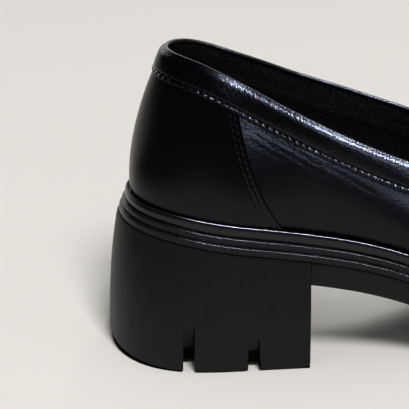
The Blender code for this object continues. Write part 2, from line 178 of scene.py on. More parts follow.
class Crease(NamedTuple):
    """Soft trough in the leather between two places, each a station and a distance below the band."""

    start_x: float
    start_below: float
    end_x: float
    end_below: float
    depth: float
    width: float


class Crowding(NamedTuple):
    """Steps along a panel: the run of it that has fine ones, and the counts of fine and coarse ones."""

    run: float
    fine: int
    coarse: int

    def shares(self) -> np.ndarray:
        """Shares from 0 up to 1, without it."""
        fine = np.linspace(0, self.run, self.fine, endpoint=False)
        return np.concatenate([fine, np.linspace(self.run, 1, self.coarse, endpoint=False)])


class Spline:
    """Natural cubic spline through values at knots."""

    def __init__(self, knots: Sequence[float], values: Sequence[float]) -> None:
        """Solves for the bends at the knots.

        Args:
            knots: Rising places of the values.
            values: Values to pass through.
        """
        self.knots = np.asarray(knots, float)
        self.values = np.asarray(values, float)
        self.gaps = np.diff(self.knots)
        slopes = np.diff(self.values) / self.gaps
        count = len(self.knots)
        system = np.eye(count)
        wanted = np.zeros(count)
        for i in range(1, count - 1):
            before, after = self.gaps[i - 1], self.gaps[i]
            system[i, i - 1 : i + 2] = before, 2 * (before + after), after
            wanted[i] = 6 * (slopes[i] - slopes[i - 1])
        self.bends = np.linalg.solve(system, wanted)

    def __call__(self, place: np.ndarray) -> np.ndarray:
        """Values of the spline at some places.

        Args:
            place: Places along the knots.

        Returns:
            The values there.
        """
        i = np.clip(np.searchsorted(self.knots, place) - 1, 0, len(self.knots) - 2)
        left, right, gap = place - self.knots[i], self.knots[i + 1] - place, self.gaps[i]
        cubic = (self.bends[i] * right**3 + self.bends[i + 1] * left**3) / (6 * gap)
        start = self.values[i] / gap - self.bends[i] * gap / 6
        end = self.values[i + 1] / gap - self.bends[i + 1] * gap / 6
        return cubic + start * right + end * left


def table_spline(table: Sequence[NamedTuple], name: str, along: str = "station") -> Spline:
    """Spline of one column of a table along another."""
    return Spline([getattr(row, along) for row in table], [getattr(row, name) for row in table])


def unit(vectors: np.ndarray) -> np.ndarray:
    """Vectors scaled to a length of one."""
    return vectors / np.maximum(np.linalg.norm(vectors, axis=-1, keepdims=True), SHORTEST)


def bump(distance: np.ndarray, width: float) -> np.ndarray:
    """Soft bell that is one at no distance and fades over a width."""
    return np.exp(-((distance / width) ** 2))


def fade(value: np.ndarray, start: float, end: float) -> np.ndarray:
    """Smooth step from 0 at start to 1 at end."""
    t = np.clip((value - start) / (end - start), 0, 1)
    return t * t * (3 - 2 * t)


def rounded(corners: Sequence[Corner], steps: int = 6) -> list[tuple[float, float]]:
    """Walks a profile and turns smoothly at each inner corner.

    Args:
        corners: Corners in order, the first and last of which are kept as they are.
        steps: Points on each turn, less one.

    Returns:
        Pairs of reach and height.
    """
    points = np.array([(corner.reach, corner.height) for corner in corners])
    walk = [points[0]]
    for before, corner, after, row in zip(points, points[1:], points[2:], corners[1:]):
        start = corner + unit(before - corner) * row.ease
        end = corner + unit(after - corner) * row.ease
        for t in np.linspace(0, 1, steps):
            walk.append(start * (1 - t) ** 2 + corner * 2 * t * (1 - t) + end * t**2)
    walk.append(points[-1])
    return [(float(reach), float(height)) for reach, height in walk]


class Outline:
    """Closed plan outline with a rounded back and front, walked along one side by a share from 0 to 1."""

    def __init__(
        self,
        table: Sequence[NamedTuple],
        ends: tuple[float, float],
        rounds: tuple[float, float],
        powers: tuple[float, float],
    ) -> None:
        """Takes the outline's sizes.

        Args:
            table: Rows with station, half_width and centre.
            ends: Stations of the back and the front.
            rounds: Lengths of the rounded back and front.
            powers: How square the rounded back and front are; 2 is an ellipse.
        """
        self.back, self.front = ends
        self.back_round, self.front_round = rounds
        self.back_power, self.front_power = powers
        self.half_width = table_spline(table, "half_width")
        self.centre = table_spline(table, "centre")
        self.straight = self.front - self.back - self.back_round - self.front_round
        walk = self.straight + (self.back_round + self.front_round) * QUARTER_TURN
        self.back_share = self.back_round * QUARTER_TURN / walk
        self.front_share = self.front_round * QUARTER_TURN / walk

    def station(self, share: np.ndarray) -> tuple[np.ndarray, np.ndarray]:
        """Distance along X at some shares, and how much of its width the outline has there.

        Args:
            share: Shares from 0 to 1.

        Returns:
            Stations, and shares of the half width.
        """
        back = np.cos(np.clip(share / self.back_share, 0, 1) * QUARTER_TURN)
        front = np.cos(np.clip((1 - share) / self.front_share, 0, 1) * QUARTER_TURN)
        run = np.clip((share - self.back_share) / (1 - self.back_share - self.front_share), 0, 1)
        x = self.back + self.back_round * (1 - back) + run * self.straight + self.front_round * front
        width = np.maximum(1 - back**self.back_power, 0) ** (1 / self.back_power)
        return x, width * np.maximum(1 - front**self.front_power, 0) ** (1 / self.front_power)

    def share(self, station: float) -> float:
        """The share at which the outline reaches a station.

        Args:
            station: Distance along X.

        Returns:
            Share from 0 to 1.
        """
        if station < self.back + self.back_round:
            turn = 1 - (station - self.back) / self.back_round
            return math.acos(turn) / QUARTER_TURN * self.back_share
        if station > self.front - self.front_round:
            turn = 1 - (self.front - station) / self.front_round
            return 1 - math.acos(turn) / QUARTER_TURN * self.front_share
        run = (station - self.back - self.back_round) / self.straight
        return self.back_share + run * (1 - self.back_share - self.front_share)

    def point(self, side: np.ndarray, share: np.ndarray) -> np.ndarray:
        """Plan points at some shares of the given sides."""
        x, width = self.station(share)
        return np.stack([x, self.centre(x) + side * self.half_width(x) * width], axis=-1)

    def turn(self, side: np.ndarray, share: np.ndarray) -> tuple[np.ndarray, np.ndarray]:
        """Directions of travel from heel to toe, and outward directions.

        Args:
            side: Side of each place, -1 or 1.
            share: Share of each place.

        Returns:
            Two arrays of plan directions.
        """
        ahead = self.point(side, np.minimum(share + SHARE_STEP, 1))
        along = unit(ahead - self.point(side, np.maximum(share - SHARE_STEP, 0)))
        across = np.stack([np.zeros_like(side), side], axis=-1)
        along = np.where((share == 0)[:, None], across, along)
        along = np.where((share == 1)[:, None], -across, along)
        outward = np.stack([-along[:, 1], along[:, 0]], axis=-1) * side[:, None]
        return along, outward

    def offset(self, side: np.ndarray, share: np.ndarray, reach: float | np.ndarray) -> np.ndarray:
        """Plan points moved outwards by a reach."""
        return self.point(side, share) + self.turn(side, share)[1] * reach


@dataclass
class Columns:
    """Curved columns up the wall, each from the foot line to the rim or the ridge."""

    points: np.ndarray
    climb: np.ndarray
    seam: np.ndarray
    lean: np.ndarray

    @property
    def length(self) -> np.ndarray:
        """Length of each column."""
        return self.climb[:, -1]

    def at(self, distances: np.ndarray) -> np.ndarray:
        """Points at distances up the columns, given as one row of distances for each column.

        Args:
            distances: Distances, shaped (columns, rows).

        Returns:
            Points, shaped (columns, rows, 3).
        """
        places = np.empty((*distances.shape, 3))
        for column, row in enumerate(distances):
            for axis in range(3):
                places[column, :, axis] = np.interp(row, self.climb[column], self.points[column, :, axis])
        return places


@dataclass
class Last:
    """Form that the upper is pulled over, and the outline and side view of the sole under it."""

    foot_plan: tuple[PlanRow, ...] = (
        PlanRow(9, 25.2, 0.0),
        PlanRow(42, 25.4, 0.0),
        PlanRow(70, 24.8, -0.6),
        PlanRow(100, 26.2, -1.9),
        PlanRow(130, 32.2, -2.4),
        PlanRow(165, 39.2, -0.8),
        PlanRow(190, 40.0, 1.2),
        PlanRow(215, 38.4, 3.4),
        PlanRow(254, 34.0, 6.6),
    )
    sole_side: tuple[SideRow, ...] = (
        SideRow(0, 50.2, 40.0),
        SideRow(12, 49.0, 39.0),
        SideRow(48, 43.9, 34.9),
        SideRow(70, 40.4, 31.4),
        SideRow(88, 37.0, 28.1),
        SideRow(105, 32.4, 23.6),
        SideRow(126, 24.8, 15.4),
        SideRow(145, 18.6, 6.6),
        SideRow(160, 15.6, 0.8),
        SideRow(178, 14.2, -1.2),
        SideRow(200, 14.4, -0.2),
        SideRow(230, 17.0, 4.0),
        SideRow(262, 21.6, 9.6),
    )
    rim: tuple[RimRow, ...] = (
        RimRow(21.7, 15.0, 0.0, 113.0, 113.0),
        RimRow(29, 15.2, 0.0, 111.8, 111.4),
        RimRow(42.6, 16.2, 0.0, 106.2, 106.3),
        RimRow(57, 19.8, 0.0, 98.6, 99.7),
        RimRow(72, 23.4, 0.0, 91.0, 92.6),
        RimRow(89, 25.0, 0.2, 82.6, 85.9),
        RimRow(104.5, 25.2, 0.5, 75.6, 79.9),
        RimRow(118, 24.4, 1.0, 71.0, 74.9),
        RimRow(128, 23.0, 1.5, 70.4, 72.4),
        RimRow(134, 21.9, 1.8, 72.0, 72.8),
        RimRow(138, 21.0, 2.0, 72.8, 72.8),
    )
    ridge: tuple[RidgeRow, ...] = (
        RidgeRow(138, 2.0, 72.8),
        RidgeRow(152, 3.0, 66.2),
        RidgeRow(168, 4.0, 60.0),
        RidgeRow(188, 5.0, 54.7),
        RidgeRow(211, 6.0, 50.8),
    )
    apron_seam: tuple[SeamRow, ...] = (
        SeamRow(112, 63.4),
        SeamRow(122, 59.6),
        SeamRow(135, 54.4),
        SeamRow(150, 49.8),
        SeamRow(166, 46.7),
        SeamRow(184, 44.8),
        SeamRow(202, 44.2),
        SeamRow(220, 45.2),
        SeamRow(238, 47.2),
    )
    column_rows: tuple[ColumnRow, ...] = (
        ColumnRow(9.2, 21.7, 85, 16, 66, 22, 0),
        ColumnRow(26, 29.0, 79, 16, 70, 20, 0),
        ColumnRow(62, 44.5, 73, 16, 76, 17, 0),
        ColumnRow(100, 86.0, 68, 13, 80, 12, 0),
        ColumnRow(128, 118.0, 66, 14, 64, 14, 0.5),
        ColumnRow(153, 138.0, 68, 19, 10.4, 21, 1),
        ColumnRow(180, 161.0, 70, 18, 9.3, 21, 1),
        ColumnRow(210, 183.0, 72, 16, 7.8, 22, 1),
        ColumnRow(238, 203.0, 76, 14, 7.2, 25, 1),
        ColumnRow(254, 211.0, 80, 13, 8.6, 28, 1),
    )
    upper_ends: tuple[float, float] = (9.2, 254)
    upper_rounds: tuple[float, float] = (38, 64)
    upper_powers: tuple[float, float] = (2.05, 2.3)
    rim_ends: tuple[float, float] = (21.7, 138)
    rim_rounds: tuple[float, float] = (22, 30)
    rim_powers: tuple[float, float] = (2.0, 2.0)
    collar_width: float = 10.5
    counter_seam: float = 62
    collar_end: float = 128
    throat_foot: float = 153
    column_rake: float = 0.7
    foot_height: float = 8.3
    widest_reach: float = 5.4
    least_fall: float = 6.0
    seam_blend: float = 0.07
    throat_pause: float = 0.12
    pause_pace: float = 0.02
    least_lean: float = 0.1

    def __post_init__(self) -> None:
        """Works out the outlines, the splines up the wall and the way into the model's frame."""
        self.foot_line = Outline(self.foot_plan, self.upper_ends, self.upper_rounds, self.upper_powers)
        self.rim_line = Outline(self.rim, self.rim_ends, self.rim_rounds, self.rim_powers)
        self.sole_top = table_spline(self.sole_side, "sole_top")
        self.sole_curve = table_spline(self.sole_side, "sole_bottom")
        self.rim_heights = {
            -1: table_spline(self.rim, "outer_height"),
            1: table_spline(self.rim, "inner_height"),
        }
        self.ridge_centre = table_spline(self.ridge, "centre")
        self.ridge_height = table_spline(self.ridge, "height")
        self.apron_height = table_spline(self.apron_seam, "height")
        self.throat_share = self.foot_line.share(self.throat_foot)
        self.collar_share = self.foot_line.share(self.collar_end)
        self.counter_share = self.foot_line.share(self.counter_seam)
        self.make_column_splines()
        shares = np.linspace(0, 1, CURVE_SAMPLES)
        edges = [self.foot_line.offset(np.full_like(shares, s), shares, self.widest_reach) for s in (-1, 1)]
        middle = (edges[0][:, 1].min() + edges[1][:, 1].max()) / 2
        self.shift = np.array([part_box("heel_block")[0].x / MM, -middle, 0])

    def make_column_splines(self) -> None:
        """Turns the table of columns into splines along the shares of the foot line."""
        throat = self.rim_ends[1]
        shares = np.array([self.foot_line.share(row.foot) for row in self.column_rows])
        tops = np.array([row.top for row in self.column_rows])
        opening, vamp = tops <= throat, tops >= throat
        rim_shares = [self.rim_line.share(top) for top in tops[opening]]
        self.rim_share = Spline(shares[opening], rim_shares)
        self.ridge_station = Spline(shares[vamp], tops[vamp])
        self.low_tilt = Spline(shares, [math.radians(row.low_tilt) for row in self.column_rows])
        self.top_tilt = Spline(shares, [math.radians(row.top_tilt) for row in self.column_rows])
        self.low_reach = Spline(shares, [row.low_reach for row in self.column_rows])
        self.top_reach = Spline(shares, [row.top_reach for row in self.column_rows])
        self.sweep = Spline(shares, [row.sweep for row in self.column_rows])

    def sole_bottom(self, x: np.ndarray) -> np.ndarray:
        """Underside of the outsole, flat on the floor under the ball of the foot."""
        return np.maximum(self.sole_curve(x), 0)

    def to_model(self, points: np.ndarray) -> np.ndarray:
        """Points of the shoe's frame, in the model's frame and in metres."""
        return (points + self.shift) * MM

    def paused(self, share: np.ndarray) -> np.ndarray:
        """Shares drawn towards the throat's, so that the columns' tops slow there and turn softly.

        Args:
            share: Shares of the columns' feet.

        Returns:
            Shares at which the tops are taken.
        """
        away = share - self.throat_share
        run = np.clip(np.abs(away) / self.throat_pause, 0, 1)
        slowed = self.pause_pace * run + (1 - self.pause_pace) * run * run * (2 - run)
        return share + np.sign(away) * self.throat_pause * (slowed - run)

    def top(self, side: np.ndarray, share: np.ndarray) -> np.ndarray:
        """Ends of the columns, on the rim of the opening or on the ridge of the vamp.

        Args:
            side: Side of each column, -1 or 1.
            share: Shares of the columns' feet.

        Returns:
            A point for each column.
        """
        share = self.paused(share)
        rim = self.rim_line.point(side, np.clip(self.rim_share(share), 0, 1))
        height = np.where(side < 0, self.rim_heights[-1](rim[:, 0]), self.rim_heights[1](rim[:, 0]))
        x = self.ridge_station(share)
        ridge = np.stack([x, self.ridge_centre(x), self.ridge_height(x)], axis=-1)
        on_rim = (share < self.throat_share)[:, None]
        return np.where(on_rim, np.concatenate([rim, height[:, None]], axis=1), ridge)

    def curves(self, side: np.ndarray, share: np.ndarray) -> tuple[np.ndarray, np.ndarray, np.ndarray]:
        """Walks the columns from the foot line to their tops.

        Args:
            side: Side of each column, -1 or 1.
            share: Share of each column's foot.

        Returns:
            Points up each column, their distances from its foot, and the sine of its angle with the rim.
        """
        flat = np.zeros((len(share), 1))
        along, outward = (np.concatenate([turn, flat], axis=1) for turn in self.foot_line.turn(side, share))
        up = np.array([0.0, 0.0, 1.0])
        plan = self.foot_line.point(side, share)
        foot = np.concatenate([plan, self.sole_top(plan[:, :1]) + self.foot_height], axis=1)
        top = self.top(side, share)
        low, high = self.low_tilt(share)[:, None], self.top_tilt(share)[:, None]
        rake = along * ((top - foot) * along).sum(1, keepdims=True) * self.column_rake
        first = foot + self.low_reach(share)[:, None] * (outward * np.cos(low) + up * np.sin(low)) + rake
        fall = foot - top
        spread = np.maximum((fall * outward).sum(1), self.least_fall)
        slant = (fall * along).sum(1) / spread * self.sweep(share)
        aside = unit(outward + along * slant[:, None])
        second = top + self.top_reach(share)[:, None] * (aside * np.cos(high) - up * np.sin(high))
        t = np.linspace(0, 1, CURVE_SAMPLES)[:, None]
        ends = foot[:, None] * (1 - t) ** 3 + top[:, None] * t**3
        points = ends + 3 * t * (1 - t) * (first[:, None] * (1 - t) + second[:, None] * t)
        steps = np.linalg.norm(np.diff(points, axis=1), axis=2)
        climb = np.concatenate([flat, np.cumsum(steps, axis=1)], axis=1)
        ahead = self.top(side, share + SHARE_STEP) - self.top(side, np.maximum(share - SHARE_STEP, 0))
        lean = np.linalg.norm(np.cross(unit(points[:, -1] - points[:, -2]), unit(ahead)), axis=1)
        return points, climb, np.maximum(lean, self.least_lean)

    def columns(self, signed: np.ndarray) -> Columns:
        """Columns at signed shares, with the distance of the collar's or apron's seam up each.

        Args:
            signed: Signed shares of the columns.

        Returns:
            The columns.
        """
        side = np.where(signed < 0, -1.0, 1.0)
        share = np.clip(np.abs(signed), 0, 1)
        points, climb, lean = self.curves(side, share)
        seam = climb[:, -1] - self.collar_width / lean
        start = self.collar_share - self.seam_blend / 2
        weight = fade(share, start, start + self.seam_blend)
        for i in np.flatnonzero(weight):
            apron = np.interp(0, points[i, :, 2] - self.apron_height(points[i, :, 0]), climb[i])
            seam[i] += weight[i] * (apron - seam[i])
        return Columns(points, climb, seam, lean)

    def normals(self, signed: np.ndarray, distances: np.ndarray) -> np.ndarray:
        """Outward directions of the wall at distances up the columns at signed shares.

        Args:
            signed: Signed shares of the columns.
            distances: Distances up each column.

        Returns:
            Directions, shaped (columns, rows, 3).
        """
        ahead = self.columns(signed - SHARE_STEP).at(distances)
        behind = self.columns(signed + SHARE_STEP).at(distances)
        columns = self.columns(signed)
        rise = columns.at(distances + CLIMB_STEP) - columns.at(distances - CLIMB_STEP)
        return unit(np.cross(ahead - behind, rise))

    def loft(self, name: str, signed: np.ndarray, rows: Sequence[SoleRow]) -> bpy.types.Object:
        """Wraps a sheet round the sole's outline and closes it along its spine.

        Args:
            name: Name of the piece.
            signed: Falling signed shares of the columns.
            rows: Rows from the spine underneath, round the edge, to the spine on top.

        Returns:
            The welded shell.
        """
        side = np.where(signed < 0, -1.0, 1.0)
        share = np.abs(signed)
        spine_x, _ = self.foot_line.station(share)
        spine = np.stack([spine_x, self.foot_line.centre(spine_x)], axis=-1)
        points = np.empty((len(signed), len(rows), 3))
        for i, row in enumerate(rows):
            plan = spine + row.spread * (self.foot_line.offset(side, share, row.reach) - spine)
            points[:, i, :2] = plan
            points[:, i, 2] = row.height(plan[:, 0])
        shell = add_sheet(name, self.to_model(points))
        weld(shell)
        return shell


def past_toe(walk: np.ndarray) -> np.ndarray:
    """Signed shares of a walk that goes on past -1, round the toe and back along the big-toe side."""
    return np.where(walk < -1, walk + 2, walk)


def across_columns(steps: np.ndarray, climbs: np.ndarray) -> np.ndarray:
    """Lengths of steps between columns, measured square to the way the columns climb."""
    climbs = unit(climbs)
    return np.linalg.norm(steps - climbs * (steps * climbs).sum(-1, keepdims=True), axis=-1)


def side_inset(points: np.ndarray, signed: np.ndarray, end: float) -> np.ndarray:
    """Distance of places on a panel from the nearer of its two side edges, at plus and minus an end share."""
    steps = np.gradient(points, axis=0) / np.abs(np.gradient(signed))[:, None, None]
    return (end - np.abs(signed))[:, None] * across_columns(steps, np.gradient(points, axis=1))


def add_sheet(name: str, points: np.ndarray) -> bpy.types.Object:
    """Adds a grid and lays it over places on the shoe.

    Args:
        name: Name of the new piece.
        points: Places in metres, shaped (columns, rows, 3); columns run towards the heel on the big-toe side.

    Returns:
        The sheet, with its faces outwards.
    """
    columns, rows, _ = points.shape
    bpy.ops.object.select_all(action="DESELECT")
    bpy.ops.mesh.primitive_grid_add(x_subdivisions=columns - 1, y_subdivisions=rows - 1)
    sheet = bpy.context.object
    sheet.name = sheet.data.name = name
    sheet.data.vertices.foreach_set("co", points.transpose(1, 0, 2).ravel())
    sheet.data.update()
    return sheet


def weld(piece: bpy.types.Object) -> None:
    """Merges the points of a piece that lie on each other.

    Args:
        piece: Piece to weld.
    """
    bpy.context.view_layer.objects.active = piece
    bpy.ops.object.mode_set(mode="EDIT")
    bpy.ops.mesh.select_all(action="SELECT")
    bpy.ops.mesh.remove_doubles(threshold=WELD_DISTANCE * MM)
    bpy.ops.mesh.dissolve_degenerate(threshold=DISSOLVE_DISTANCE * MM)
    bpy.ops.object.mode_set(mode="OBJECT")


def apply_modifier(piece: bpy.types.Object, kind: str, **settings: object) -> None:
    """Adds a modifier with its settings and applies it.

    Args:
        piece: Piece to change.
        kind: Type of the modifier.
        settings: Its settings.
    """
    modifier = piece.modifiers.new(kind.title(), kind)
    for name, value in settings.items():
        setattr(modifier, name, value)
    bpy.context.view_layer.objects.active = piece
    bpy.ops.object.modifier_apply(modifier=modifier.name)


def thicken(piece: bpy.types.Object, thickness: np.ndarray, toward: int = 1, **settings: object) -> None:
    """Gives a sheet a thickness that changes over it, and welds it.

    Args:
        piece: The sheet, as add_sheet made it.
        thickness: Thickness in millimetres at its columns and rows.
        toward: 1 to grow outwards from the sheet, -1 to grow inwards.
        settings: More settings of the Solidify modifier.
    """
    group = piece.vertex_groups.new(name="thickness")
    most = float(thickness.max())
    for index, value in enumerate(thickness.T.ravel()):
        group.add([index], float(value) / most, "REPLACE")
    weld(piece)
    apply_modifier(
        piece,
        "SOLIDIFY",
        thickness=most * MM,
        offset=toward,
        vertex_group=group.name,
        use_quality_normals=True,
        **settings,
    )
    piece.vertex_groups.clear()


def smooth(piece: bpy.types.Object, degrees: float) -> None:
    """Shades a piece smooth, except across edges sharper than an angle.

    Args:
        piece: Piece to shade.
        degrees: The angle.
    """
    bpy.ops.object.select_all(action="DESELECT")
    piece.select_set(True)
    bpy.context.view_layer.objects.active = piece
    bpy.ops.object.shade_smooth_by_angle(angle=math.radians(degrees))


def hand_over(piece: bpy.types.Object, slot: Slot, *nodes: str) -> None:
    """Rides a finished piece on the shoe and hides the CAD nodes that it stands for.

    Args:
        piece: The piece.
        slot: Its material slot; not used.
        nodes: Names of the CAD nodes, if any.
    """
    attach(piece, BODY)
    if nodes:
        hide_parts(*nodes)
    log.info("%s: %d faces", piece.name, len(piece.data.polygons))


def linear(colour: str) -> tuple[float, float, float, float]:
    """Linear colour of an sRGB hex value."""
    channels = [int(colour[i : i + 2], 16) / 255 for i in (1, 3, 5)]
    return (*((c / 12.92 if c <= 0.04045 else ((c + 0.055) / 1.055) ** 2.4) for c in channels), 1.0)


def add_node(
    tree: bpy.types.NodeTree, kind: str, inputs: dict[str, object], **settings: object
) -> bpy.types.Node:
    """Adds a node to a tree.

    Args:
        tree: Tree of the material.
        kind: Type of the node.
        inputs: Values of its sockets, or the sockets that are linked to them.
        settings: Its own settings.

    Returns:
        The node.
    """
    node = tree.nodes.new(kind)
    for name, value in settings.items():
        setattr(node, name, value)
    for name, value in inputs.items():
        if isinstance(value, bpy.types.NodeSocket):
            tree.links.new(value, node.inputs[name])
        else:
            node.inputs[name].default_value = value
    return node


@dataclass(frozen=True)
class Finish:
    """What every finish has: a name, a colour, and the gloss of its skin."""

    name: str
    colour: str
    roughness: float
    specular: float
    tint: str = "#ffffff"

    def material(self) -> bpy.types.Material:
        """Makes the material and lets the finish dress it.

        Returns:
            The material.
        """
        material = bpy.data.materials.new(self.name)
        material.use_nodes = True
        tree = material.node_tree
        shader = tree.nodes["Principled BSDF"]
        shader.inputs["Base Color"].default_value = linear(self.colour)
        shader.inputs["Roughness"].default_value = self.roughness
        shader.inputs["Specular IOR Level"].default_value = self.specular
        shader.inputs["Specular Tint"].default_value = linear(self.tint)
        self.dress(tree, shader)
        return material

    def dress(self, tree: bpy.types.NodeTree, shader: bpy.types.Node) -> None:
        """Adds the finish's patterns; a plain finish has none."""


@dataclass(frozen=True)
class CalfLeather(Finish):
    """Polished calf: pores and fine lines break up its soft gloss, and it wrinkles where it was pulled."""

    flow: GrainFlow = GrainFlow.OBJECT
    # Real pores lie about 0.2 mm apart and real lines are half as wide: coarser here, so as to show
    pore: float = 0.7
    pore_depth: float = 0.03
    line_length: float = 4.0
    line_width: float = 0.7
    line_depth: float = 0.012
    wrinkle_length: float = 1.6
    wrinkle_width: float = 0.65
    wrinkle_depth: float = 0.15
    wrinkle_slope: float = 28
    panel_size: tuple[float, float] = (260, 24)
    patch: float = 9.0
    gloss_range: float = 0.05
    polish_detail: float = 4.0
    streak_detail: float = 1.5
    streak_waver: float = 0.15

    def dress(self, tree: bpy.types.NodeTree, shader: bpy.types.Node) -> None:
        """Adds pores, grain lines, wrinkles and an uneven polish.

        Args:
            tree: Tree of the material.
            shader: Its principled shader.
        """
        coordinates = add_node(tree, "ShaderNodeTexCoord", {})
        spots = coordinates.outputs["Object"]
        pores = add_node(tree, "ShaderNodeTexVoronoi", {"Vector": spots, "Scale": 1 / (self.pore * MM)})
        skin = self.emboss(tree, pores.outputs["Distance"], self.pore_depth)
        if self.flow is GrainFlow.PANEL:
            size = (self.line_width / self.panel_size[0], self.line_length / self.panel_size[1], 1.0)
        else:
            size = (self.line_length * MM, self.line_length * MM, self.line_width * MM)
        lines = self.streaks(tree, coordinates.outputs[self.flow.value], size)
        skin = self.emboss(tree, lines, self.line_depth, skin)
        size = (self.wrinkle_length * MM, self.wrinkle_length * MM, self.wrinkle_width * MM)
        wrinkles = self.streaks(tree, spots, size, math.radians(self.wrinkle_slope))
        pulled = add_node(tree, "ShaderNodeAttribute", {}, attribute_name="pulled")
        height = add_node(tree, "ShaderNodeMath", {}, operation="MULTIPLY")
        tree.links.new(wrinkles, height.inputs[0])
        tree.links.new(pulled.outputs["Fac"], height.inputs[1])
        skin = self.emboss(tree, height.outputs["Value"], self.wrinkle_depth, skin)
        tree.links.new(skin, shader.inputs["Normal"])
        polish = add_node(
            tree,
            "ShaderNodeTexNoise",
            {"Vector": spots, "Scale": 1 / (self.patch * MM), "Detail": self.polish_detail},
        )
        gloss = add_node(
            tree,
            "ShaderNodeMapRange",
            {
                "Value": polish.outputs["Fac"],
                "To Min": self.roughness - self.gloss_range,
                "To Max": self.roughness + self.gloss_range,
            },
        )
        tree.links.new(gloss.outputs["Result"], shader.inputs["Roughness"])

    def emboss(
        self,
        tree: bpy.types.NodeTree,
        height: bpy.types.NodeSocket,
        depth: float,
        under: bpy.types.NodeSocket | None = None,
    ) -> bpy.types.NodeSocket:
        """Bump of a depth in millimetres, laid over another one.

        Args:
            tree: Tree of the material.
            height: Pattern to emboss.
            depth: Its depth.
            under: Bump below it, if any.

        Returns:
            Socket of the bumped normal.
        """
        inputs = {"Strength": 1.0, "Distance": depth * MM, "Height": height}
        if under is not None:
            inputs["Normal"] = under
        return add_node(tree, "ShaderNodeBump", inputs).outputs["Normal"]

    def streaks(
        self,
        tree: bpy.types.NodeTree,
        spots: bpy.types.NodeSocket,
        size: tuple[float, float, float],
        slope: float = 0,
    ) -> bpy.types.NodeSocket:
        """Noise stretched to streaks of a size, which fall towards the toe by a slope.

        Args:
            tree: Tree of the material.
            spots: Coordinates to read.
            size: Size of a streak along each axis.
            slope: Angle of the fall.

        Returns:
            Socket of the pattern.
        """
        place = add_node(
            tree,
            "ShaderNodeMapping",
            {"Vector": spots, "Scale": size, "Rotation": (0, slope, 0)},
            vector_type="TEXTURE",
        )
        noise = add_node(
            tree,
            "ShaderNodeTexNoise",
            {
                "Vector": place.outputs["Vector"],
                "Scale": 1.0,
                "Detail": self.streak_detail,
                "Distortion": self.streak_waver,
            },
        )
        return noise.outputs["Fac"]


@dataclass(frozen=True)
class Grained(Finish):
    """Moulded or napped skin: fine grit in its relief, with paler flecks on the grit's high spots."""

    # Real grit is about 0.1 mm wide: coarser here, so as to show
    grit: float = 0.7
    grit_depth: float = 0.03
    grit_detail: float = 3.0
    fleck_colour: str = "#202022"
    fleck_start: float = 0.45
    fleck_end: float = 0.75

    def dress(self, tree: bpy.types.NodeTree, shader: bpy.types.Node) -> None:
        """Adds the grit and the flecks.

        Args:
            tree: Tree of the material.
            shader: Its principled shader.
        """
        spots = add_node(tree, "ShaderNodeTexCoord", {}).outputs["Object"]
        grit = add_node(
            tree,
            "ShaderNodeTexNoise",
            {"Vector": spots, "Scale": 1 / (self.grit * MM), "Detail": self.grit_detail},
        )
        skin = add_node(
            tree,
            "ShaderNodeBump",
            {"Strength": 1.0, "Distance": self.grit_depth * MM, "Height": grit.outputs["Fac"]},
        )
        tree.links.new(skin.outputs["Normal"], shader.inputs["Normal"])
        flecks = add_node(
            tree,
            "ShaderNodeMapRange",
            {"Value": grit.outputs["Fac"], "From Min": self.fleck_start, "From Max": self.fleck_end},
        )
        tone = add_node(
            tree,
            "ShaderNodeMixRGB",
            {
                "Fac": flecks.outputs["Result"],
                "Color1": linear(self.colour),
                "Color2": linear(self.fleck_colour),
            },
        )
        tree.links.new(tone.outputs["Color"], shader.inputs["Base Color"])


